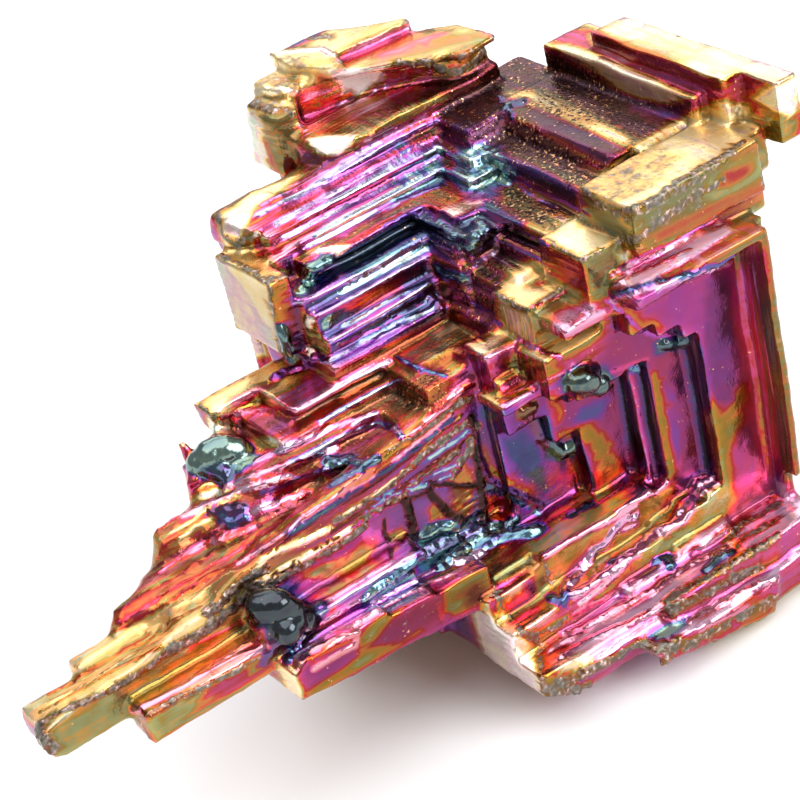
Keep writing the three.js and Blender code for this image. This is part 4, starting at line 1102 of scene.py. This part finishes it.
    ("middle rods, 1", "rib", 0.6, 1.3, 0.15, 0.2, [(292, 304), (320, 294), (360, 274), (400, 254),
        (428, 238)]),
    ("middle rods, 2", "rib", 0.74, 1.3, 0.15, 0.3, [(340, 292), (370, 276), (400, 262),
        (432, 248)]),
    ("middle rods, 3", "rib", 0.6, 1.3, 0.14, 0.2, [(318, 314), (350, 298), (390, 276),
        (426, 258)]),
    ("middle rods, 4", "rib", 0.76, 1.3, 0.16, 0.3, [(342, 326), (370, 312), (400, 296),
        (430, 284)]),
    ("middle rods, 5", "rib", 0.6, 1.3, 0.15, 0.2, [(330, 340), (360, 324), (396, 306),
        (424, 290)]),
    ("middle rods, 6", "rib", 0.40, 0.6, 0.08, 0.2, [(340, 344), (370, 330), (400, 316),
        (420, 304)]),
    ("middle rods, 7", "rib", 0.75, 1.3, 0.16, 0.3, [(360, 342), (384, 330), (410, 318),
        (436, 308)]),
    ("middle rods, 8", "rib", 0.62, 1.3, 0.14, 0.3, [(322, 362), (350, 350), (380, 336),
        (404, 326)]),
    ("middle lip, left", "rib", 0.62, 0.9, 0.14, 0.3, [(384, 226), (404, 216), (424, 206),
        (436, 216), (452, 228)]),
    ("middle lip, right", "rib", 0.60, 0.7, 0.12, 0.3, [(456, 222), (480, 208), (504, 222),
        (530, 236), (548, 246)]),
    ("right steps, 1", "rib", 0.60, 0.7, 0.10, 0.3, [(500, 168), (530, 186), (560, 200),
        (590, 216)]),
    ("right steps, 2", "rib", 0.62, 0.7, 0.10, 0.3, [(510, 176), (530, 194), (556, 210)]),
    ("right steps, 3", "rib", 0.58, 0.75, 0.10, 0.3, [(506, 238), (524, 250), (544, 262)]),
    ("right steps, 4", "rib", 0.35, 0.55, 0.10, 0.3, [(462, 262), (480, 274), (500, 288)]),
    ("right steps, 5", "rib", 0.60, 0.7, 0.10, 0.3, [(466, 296), (484, 312), (504, 326)]),
    ("right steps, 6", "rib", 0.36, 0.5, 0.10, 0.3, [(450, 316), (468, 330), (484, 342)]),
    # the ribs of the lower rods, the tail and the lower bar
    ("lower rods, lip", "rib", 0.50, 1.5, 0.22, 0.1, [(296, 411), (330, 393), (360, 377),
        (388, 362)]),
    ("lower rods, orange", "rib", 0.31, 1.0, 0.10, 0.2, [(312, 416), (344, 398), (377, 380)]),
    ("lower rods, silver", "rib", 0.77, 1.3, 0.12, 0.2, [(318, 421), (344, 408), (372, 394),
        (399, 380)]),
    ("lower rods, orange, low", "rib", 0.31, 0.9, 0.10, 0.3, [(300, 436), (326, 424), (352, 412)]),
    ("lower rods, lilac", "rib", 0.54, 1.5, 0.22, 0.1, [(256, 461), (292, 446), (330, 430),
        (376, 414)]),
    ("lower rods, steel", "rib", 0.72, 1.3, 0.17, 0.2, [(288, 463), (326, 445), (360, 430),
        (380, 422), (392, 426), (400, 436)]),
    ("lower rods, dark", "rib", 0.4, 0.15, 0.12, 0.3, [(250, 474), (290, 462), (330, 452)]),
    ("lower rods, pink", "rib", 0.47, 1.5, 0.22, 0.1, [(226, 487), (262, 473), (300, 459),
        (336, 450)]),
    ("lower rods, violet", "rib", 0.64, 1.1, 0.14, 0.2, [(262, 494), (296, 480), (326, 470)]),
    ("lower rods, pink, low", "rib", 0.46, 1.5, 0.22, 0.1, [(182, 518), (214, 502), (250, 488),
        (290, 478)]),
    ("lower rods, maroon", "rib", 0.4, 0.2, 0.14, 0.2, [(230, 530), (262, 516), (306, 500)]),
    ("lower rods, rose", "rib", 0.47, 1.4, 0.18, 0.1, [(210, 531), (245, 515), (275, 503),
        (308, 492)]),
    ("tail, 5", "rib", 0.42, 1.2, 0.2, 0.2, [(180, 558), (214, 544), (256, 526)]),
    ("lower rods, lip, right", "rib", 0.74, 0.8, 0.14, 0.4, [(396, 356), (410, 364), (424, 370),
        (444, 376)]),
    ("lower rods, hollow rim", "rib", 0.42, 1.1, 0.10, 0.3, [(232, 422), (250, 414), (276, 416),
        (300, 414)]),
    ("tail, 1", "rib", 0.36, 1.0, 0.16, 0.3, [(150, 520), (170, 508), (190, 498), (214, 486)]),
    ("tail, 2", "rib", 0.33, 0.9, 0.16, 0.3, [(146, 538), (170, 522), (196, 508)]),
    ("tail, 3", "rib", 0.14, 1.2, 0.13, 0.3, [(176, 540), (196, 526), (216, 516)]),
    ("tail, 4", "rib", 0.4, 1.0, 0.16, 0.3, [(160, 556), (168, 542), (180, 534)]),
    ("tail, 6", "rib", 0.33, 0.9, 0.16, 0.3, [(190, 592), (214, 576), (232, 566)]),
    ("tail, 7", "rib", 0.16, 1.1, 0.13, 0.3, [(190, 600), (212, 586), (232, 574)]),
    ("tail streak, orange", "rib", 0.3, 0.9, 0.12, 0.2, [(48, 694), (96, 666), (150, 640),
        (190, 612)]),
    ("tail streak, gold", "rib", 0.16, 1.1, 0.12, 0.2, [(60, 676), (104, 650), (150, 622),
        (186, 600)]),
    ("tail streak, brown", "rib", 0.36, 0.35, 0.1, 0.2, [(58, 690), (108, 660), (150, 634),
        (200, 606)]),
    ("tail streak, rose", "rib", 0.36, 0.8, 0.12, 0.2, [(110, 634), (150, 612), (196, 588),
        (236, 562)]),
    ("tail streak, pink", "rib", 0.4, 1.0, 0.12, 0.2, [(118, 622), (160, 598), (206, 570),
        (250, 544)]),
    ("tail streak, red", "rib", 0.38, 0.6, 0.1, 0.2, [(112, 612), (150, 592), (200, 562),
        (240, 538)]),
    ("tail streak, dark", "rib", 0.4, 0.25, 0.1, 0.2, [(124, 604), (170, 580), (214, 552),
        (258, 528)]),
    ("tail streak, olive", "rib", 0.24, 0.7, 0.1, 0.2, [(140, 594), (176, 574), (220, 548),
        (250, 532)]),
    ("tail streak, lilac", "rib", 0.44, 1.1, 0.12, 0.2, [(148, 578), (190, 552), (236, 528),
        (280, 504)]),
    ("tail streak, dark, upper", "rib", 0.42, 0.25, 0.1, 0.2, [(152, 570), (190, 546), (230, 524),
        (276, 496)]),
    ("tail streak, pink, upper", "rib", 0.37, 0.9, 0.12, 0.2, [(156, 560), (196, 538), (240, 514),
        (290, 488)]),
    ("tail streak, gold, upper", "rib", 0.14, 1.1, 0.12, 0.2, [(168, 534), (190, 522), (214, 506),
        (240, 494)]),
    ("tail streak, orange, low", "rib", 0.31, 0.9, 0.12, 0.2, [(40, 712), (80, 690), (120, 668),
        (160, 646)]),
    ("tail streak, gold, low", "rib", 0.17, 1.1, 0.12, 0.2, [(46, 704), (90, 682), (130, 656),
        (176, 630)]),
    ("tail streak, lilac, low", "rib", 0.42, 1.0, 0.1, 0.2, [(180, 594), (220, 570), (252, 552)]),
    ("low bar, rib", "rib", 0.44, 1.35, 0.2, 0.2, [(134, 712), (170, 694), (206, 674), (236, 656),
        (266, 644)]),
    ("low bar, upper rib", "rib", 0.40, 1.35, 0.2, 0.2, [(180, 690), (206, 670), (236, 650),
        (258, 636)]),
    ("low bar, red rim", "rib", 0.39, 1.1, 0.12, 0.3, [(190, 646), (214, 634), (240, 624),
        (258, 630)]),
)]
# The kinds of stroke that are crusted, and how much of their skin the crust covers.
CRUSTS = {"crust": 0.56, "crest": 0.66}
STROKE_REACH = 1.5  # farther from its lumps than this a stroke has no colour, in millimetres
DARK_DROP = 0.6  # a drop whose tone is lower than this is glassy
DROP_GLOSS = 0.16


# Smooth noise between -1 and 1 over a lattice with the given spacing. The large numbers scramble
# the place of each lattice point into a value of its own.
def noise(points, spacing, seed):
    cell = np.floor(points / spacing).astype(np.int64)
    part = points / spacing - cell
    part = part * part * (3 - 2 * part)
    total = np.zeros(len(points))
    for corner in np.ndindex(2, 2, 2):
        at = cell + np.array(corner)
        key = (at[:, 0] * 73856093) ^ (at[:, 1] * 19349663) ^ (at[:, 2] * 83492791)
        key ^= seed * 2654435761
        key = (key ^ (key >> 13)) * 1274126177 & 0x7FFFFFFF
        key = (key ^ (key >> 16)) & 0xFFFF
        weight = np.prod(np.where(corner, part, 1 - part), axis=1)
        total += weight * (key / 32767.5 - 1)
    return total


def noise_along_axes(points, spacing, seeds):
    return np.stack([noise(points, spacing, seed) for seed in seeds], axis=1)


def smooth_step(values, low, high):
    part = np.clip((values - low) / (high - low), 0, 1)
    return part * part * (3 - 2 * part)


# How melted the crystal is: most on the stairs at the lower left, then the plates' left end and the
# ledges at the foot.
def melted(points):
    x, y, z = points.T
    stairs = smooth_step(x, 4, 1) * smooth_step(z, 22, 19) * smooth_step(y, -6.2, -5.2)
    stairs *= (0.25 + 0.75 * smooth_step(x, -6, -9)) * (1 - 0.7 * smooth_step(x, -19, -22))
    plates = smooth_step(x, 9, 6) * smooth_step(z, 28.5, 30)
    foot = smooth_step(z, 8, 6) * smooth_step(x, 2, 4) * smooth_step(y, -10, -12)
    return np.maximum(stairs, np.maximum(plates * 0.8, foot * 0.35))


# Bends the shape a little, so that no edge is quite straight, and more where it is melted.
def warped(points):
    gentle = noise_along_axes(points, 2.6, (51, 52, 53))
    quick = noise_along_axes(points, 0.8, (54, 55, 56))
    return points + gentle * 0.10 + quick * (0.035 + 0.07 * melted(points)[:, None])


# The funnel in the front face, with its panels.
def in_front_funnel(points):
    return (points[:, 1] < -6.5) & (points[:, 2] < 24) & (points[:, 0] > 1)


# The terraces at the upper right.
def on_right_terraces(points):
    return (points[:, 0] > 10) & (points[:, 2] > 22) & (points[:, 1] < 9)


# How finely the piece is meshed, in millimetres: while it is melted, and in the end.
MELT_VOXEL = 0.2
VOXEL = 0.13
TRIANGLES = 196000
MELT_ROUNDS = 60  # how often each vertex moves to the middle of its neighbours, where it melts
MELT_SHARE = 0.9
LARGE_LUMP = 0.35  # a lump with a larger half size than this has more faces, in millimetres


def copy_of_node():
    """The CAD node's mesh as a piece of its own, in millimetres, its loose triangles joined."""
    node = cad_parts["bismuth_crystal"]
    piece = node.copy()
    piece.data = node.data.copy()
    piece.name = "crystal"
    piece.parent = None
    for key in list(piece.keys()):
        del piece[key]
    bpy.context.scene.collection.objects.link(piece)
    resize(piece, 1 / MM)
    bpy.ops.object.mode_set(mode="EDIT")
    bpy.ops.mesh.select_all(action="SELECT")
    bpy.ops.mesh.remove_doubles(threshold=0.0005)
    bpy.ops.object.mode_set(mode="OBJECT")
    return piece


def read(what, name, width=3):
    values = np.zeros(len(what) * width, np.float32)
    what.foreach_get(name, values)
    return values.reshape(-1, width).astype(float)


def move_vertices(mesh, points):
    mesh.vertices.foreach_set("co", points.astype(np.float32).ravel())
    mesh.update()


def spread(mesh, values, rounds):
    """Averages values over neighbouring vertices."""
    pairs = np.zeros(len(mesh.edges) * 2, np.int32)
    mesh.edges.foreach_get("vertices", pairs)
    a, b = pairs.reshape(-1, 2).T
    size = len(values)
    count = np.bincount(a, minlength=size) + np.bincount(b, minlength=size) + 1.0
    for _ in range(rounds):
        total = values + np.bincount(a, values[b], size) + np.bincount(b, values[a], size)
        values = total / count
    return values


def spread_points(mesh, points, rounds):
    return np.stack([spread(mesh, points[:, axis], rounds) for axis in range(3)], axis=1)


def melt(piece):
    """Rounds off the melted parts."""
    apply_modifier(piece, "REMESH", mode="VOXEL", voxel_size=MELT_VOXEL)
    mesh = piece.data
    points = read(mesh.vertices, "co")
    rounded = spread_points(mesh, points, MELT_ROUNDS)
    points += melted(points)[:, None] * MELT_SHARE * (rounded - points)
    move_vertices(mesh, points)


def laid(eye):
    """The lumps that each stroke is made of: a list of (place, sizes, stroke number)."""
    chance = np.random.default_rng(11)
    spots = []
    for number, stroke in enumerate(STROKES):
        radius = stroke.radius
        crusted = stroke.kind in CRUSTS
        step = 0.55 * radius if crusted else 0.6 * radius
        flat = 1.0 if stroke.kind == "crust" else 0.7
        swell = 1.0
        for place, away in eye.follow(stroke.line, max(1.0, step / PIXEL)):
            if crusted:
                # Three grains, sunk into the skin.
                swell += 0.35 * (chance.uniform(0.4, 1.5) - swell)
                for _ in range(3):
                    size = radius * swell * chance.uniform(0.3, 0.9, 3)
                    shift = radius * chance.uniform(-1.1, 1.1, 3)
                    depth = radius * flat * chance.uniform(0.3, 0.6)
                    shift -= away * (flat * (shift @ away) + depth)
                    spots.append((place + shift, size, number))
            else:
                # One smooth lump that stands on the skin.
                size = radius * (1 + stroke.uneven * chance.uniform(-0.5, 0.5, 3))
                shift = radius * stroke.uneven * chance.uniform(-0.4, 0.4, 3)
                spots.append((place + shift - away * radius * 0.30, size, number))
    return spots


def lumps(piece, spots):
    """Adds the lumps to the piece, to be fused with it."""
    deselect()
    models = []
    for subdivisions in (2, 4):
        bpy.ops.mesh.primitive_ico_sphere_add(subdivisions=subdivisions, radius=1)
        model = bpy.context.active_object
        faces = [list(face.vertices) for face in model.data.polygons]
        models.append((read(model.data.vertices, "co"), faces))
        bpy.data.objects.remove(model)
    vertices = []
    polygons = []
    for place, size, _ in spots:
        large = max(size) > LARGE_LUMP
        corners, faces = models[int(large)]
        first = len(vertices)
        vertices.extend(corners * size + place)
        polygons.extend([first + corner for corner in face] for face in faces)
    mesh = bpy.data.meshes.new("lumps")
    mesh.from_pydata([tuple(vertex) for vertex in vertices], [], polygons)
    added = bpy.data.objects.new("lumps", mesh)
    bpy.context.scene.collection.objects.link(added)
    activate(piece)
    added.select_set(True)
    bpy.ops.object.join()


def sculpt(piece):
    """Grain and growth lines on the skin. Tells which vertices are on an edge, where crust and
    painted highlights go, and which lie in a hollow or crease, where shade is painted.
    """
    mesh = piece.data
    points = warped(read(mesh.vertices, "co"))
    move_vertices(mesh, points)
    normals = read(mesh.vertices, "normal")
    smoothed = spread_points(mesh, points, 3)
    wide = spread_points(mesh, smoothed, 14)
    proud = ((points - smoothed) * normals).sum(axis=1) / VOXEL
    sunk = -((smoothed - wide) * normals).sum(axis=1) / VOXEL
    edge = np.clip(spread(mesh, np.clip(proud * 3.0, 0, 1), 2), 0, 1)
    hollow = np.clip(sunk * 1.1 - 0.05, 0, 1)

    # Swells and ripples everywhere, and grain on the edges.
    grain = noise(points, 0.45, 5) + 0.6 * noise(points, 0.25, 7)
    patchy = np.clip(noise(points, 3.0, 3) * 1.5 + 0.4, 0, 1)
    move = 0.02 * noise(points, 2.2, 1) + 0.012 * noise(points, 0.6, 2)
    move += 0.05 * grain * edge * patchy

    # Growth lines: fine bands round each funnel.
    front = in_front_funnel(points)
    across = np.where(front, points[:, 1], points[:, 2])
    flat = np.where(front, np.abs(normals[:, 1]), np.abs(normals[:, 2]))
    band = np.sin(across / 0.085 + 2.0 * noise(points * 0.3, 1.0, 9))
    fading = np.clip(0.6 + noise(points, 4.0, 11), 0, 1)
    move += 0.022 * band * np.clip(1 - 2.5 * flat, 0, 1) * fading

    points += normals * move[:, None]
    move_vertices(mesh, points)
    # The mask of painted shade: hollows, and fine creases.
    crease_shade = np.clip(spread(mesh, np.clip(-proud * 3.0, 0, 1), 1), 0, 1)
    return edge, np.clip(hollow + 0.6 * crease_shade, 0, 1)


def paint_attribute(piece, name, values):
    layer = piece.data.attributes.new(name, "FLOAT", "POINT")
    layer.data.foreach_set("value", values.astype(np.float32))


def inside_outline(pixels, outline, edge):
    """1 well inside an outline of pixels, 0 well outside it."""
    corners = np.array(outline, float)
    nearest = np.full(len(pixels), 1e9)
    within = np.zeros(len(pixels), bool)
    for start, end in zip(corners, np.roll(corners, -1, axis=0)):
        along = end - start
        part = np.clip((pixels - start) @ along / (along @ along), 0, 1)
        gap = np.linalg.norm(pixels - start - part[:, None] * along, axis=1)
        nearest = np.minimum(nearest, gap)
        crosses = (pixels[:, 1] < start[1]) != (pixels[:, 1] < end[1])
        slope = along[0] / (along[1] if along[1] else 1.0)
        within ^= crosses & (pixels[:, 0] < start[0] + (pixels[:, 1] - start[1]) * slope)
    return smooth_step(np.where(within, nearest, -nearest), -edge / 2, edge / 2)


class Skin:
    """What each vertex of the crystal looks like."""

    def __init__(self, piece):
        self.piece = piece
        mesh = piece.data
        self.points = read(mesh.vertices, "co")
        self.facing = read(mesh.vertices, "normal") ** 2
        self.edge = read(mesh.attributes["edge"].data, "value", 1)[:, 0]
        self.hollow = read(mesh.attributes["hollow"].data, "value", 1)[:, 0]
        self.waver = noise_along_axes(self.points, 2.5, (21, 22, 23))

    def lay_zones(self):
        """The film of each zone, as its faces look along X, along Y and up, and its tone the same
        way, which is painted shade and light by facing.
        """
        layers = [np.tile(value, (len(self.points), 1)) for value in EVERYWHERE]
        plain = np.ones(len(self.points))
        for _, middle, half, *wanted in ZONES:
            reach = ((self.points + self.waver * 0.5 - middle) / half) ** 4
            inside = smooth_step(np.sqrt(reach.sum(axis=1)), 1.3, 0.8)
            for layer, value in zip(layers, wanted):
                layer += inside[:, None] * (value - layer)
            plain = np.minimum(plain, 1 - inside)
        films, facing_tones_and_shade = layers[:2]
        self.film = (films * self.facing).sum(axis=1)
        self.tone = (facing_tones_and_shade * self.facing).sum(axis=1)
        self.wear, self.speckle, self.lines, self.matt = (layer[:, 0] for layer in layers[2:])
        self.film += 0.05 * noise(self.points, 3.5, 31)
        # Outside all zones, as on the back, the film wanders through more of its colours.
        wander = 0.20 * noise(self.points, 6.0, 33) + 0.12 * noise(self.points, 2.2, 34)
        self.film += plain * (wander - 0.15 * self.edge)
        self.speckle *= np.clip(1.4 - self.hollow * 2, 0, 1)

    def lay_patches(self):
        """The patches, with wavering rims, on the vertices that the camera sees."""
        self.crust = np.zeros(len(self.points))
        pixels, seen = Eye(self.piece).look(self.points)
        pixels += self.waver[:, :2] * 2.0
        for _, film, tone, crust, speckle, outline in PATCHES:
            inside = inside_outline(pixels, outline, PATCH_RIM) * seen
            self.film += inside * (film - self.film)
            self.tone += inside * (tone - self.tone)
            self.crust += inside * (crust - self.crust)
            self.speckle += inside * (speckle - self.speckle)
            if speckle == 0:
                self.lines *= 1 - 0.75 * inside

    def wear_edges(self):
        """Edges are crusted, or pale with a painted highlight; hollows and creases get painted
        shade.
        """
        patchy = np.clip(noise(self.points, 3.0, 3) * 1.2 + 0.7, 0, 1)
        self.crust = np.maximum(self.crust, 1.1 * self.edge * self.wear * patchy)
        # Painted highlight: edges that are not crusted are made paler.
        self.tone += self.edge * (1 - self.wear) * 0.7
        # Painted shade: hollows and creases are darkened, more where growth lines run.
        self.tone *= 1 - (0.4 + 0.4 * np.clip(self.lines * 2, 0, 1)) * self.hollow

    def lay_strokes(self, spots):
        """The look of the nearest lump on each vertex that is on or close to one."""
        self.gloss = np.zeros(len(self.points))
        tree = KDTree(len(spots))
        for number, place in enumerate(warped(np.array([place for place, _, _ in spots]))):
            tree.insert(place, number)
        tree.balance()
        for number, place in enumerate(self.points):
            best = 0.0
            for _, which, distance in tree.find_range(place, STROKE_REACH):
                stroke = STROKES[spots[which][2]]
                size = stroke.radius * (0.85 if stroke.kind in CRUSTS else 1.0)
                weight = min(1.0, max(0.0, 1.55 - distance / size) / 0.4)
                if weight > best:
                    best = weight
                    chosen = stroke
            if best > 0:
                self.tone[number] += best * (chosen.tone - self.tone[number])
                self.film[number] += best * (chosen.film - self.film[number])
                crust = CRUSTS.get(chosen.kind, 0.0)
                self.crust[number] += best * (crust - self.crust[number])
                self.speckle[number] *= 1 - best
                self.matt[number] *= 1 - best
                if chosen.kind == "melt" and chosen.tone < DARK_DROP:
                    self.gloss[number] = DROP_GLOSS * best

    def paint(self):
        """Gives the piece its attributes."""
        # Growth lines run along X on the left, along Y on the right terraces, and up the side walls
        # of the panels.
        side = self.facing[:, 0]
        panels = in_front_funnel(self.points)
        terraces = on_right_terraces(self.points)
        inner = panels & (self.points[:, 0] < 22.5)
        lines = np.where(inner, self.lines + side * (0.9 - self.lines), self.lines)
        lines *= 1 - np.clip(self.crust * 1.2, 0, 1)
        up = np.where(panels, side, 0.0)
        across = np.where(terraces, np.clip(side + self.facing[:, 2], 0, 1), side)
        along_y = np.where(panels, 0.0, across)
        along_x = np.clip(1 - up - along_y, 0, 1)
        for name in ("film", "tone", "crust", "speckle", "matt", "gloss"):
            paint_attribute(self.piece, name, getattr(self, name))
        for name, share in (("lines_x", along_x), ("lines_y", along_y), ("lines_z", up)):
            paint_attribute(self.piece, name, lines * share)


def crystal():
    piece = copy_of_node()
    melt(piece)
    spots = laid(Eye(piece))
    lumps(piece, spots)
    apply_modifier(piece, "REMESH", mode="VOXEL", voxel_size=VOXEL)
    edge, hollow = sculpt(piece)
    paint_attribute(piece, "edge", edge)
    # Where shade is painted: the hollows and creases.
    paint_attribute(piece, "hollow", hollow)
    apply_modifier(piece, "TRIANGULATE")
    apply_modifier(piece, "DECIMATE", ratio=TRIANGLES / len(piece.data.polygons))
    skin = Skin(piece)
    skin.lay_zones()
    skin.lay_patches()
    skin.wear_edges()
    skin.lay_strokes(spots)
    skin.paint()
    resize(piece, MM)
    bpy.ops.object.shade_smooth()
    piece.data.materials.clear()
    piece.data.materials.append(film_paint())
    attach(piece, "root")
    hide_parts("bismuth_crystal")


camera()
studio()
crystal()
bpy.context.scene.view_settings.view_transform = "Standard"
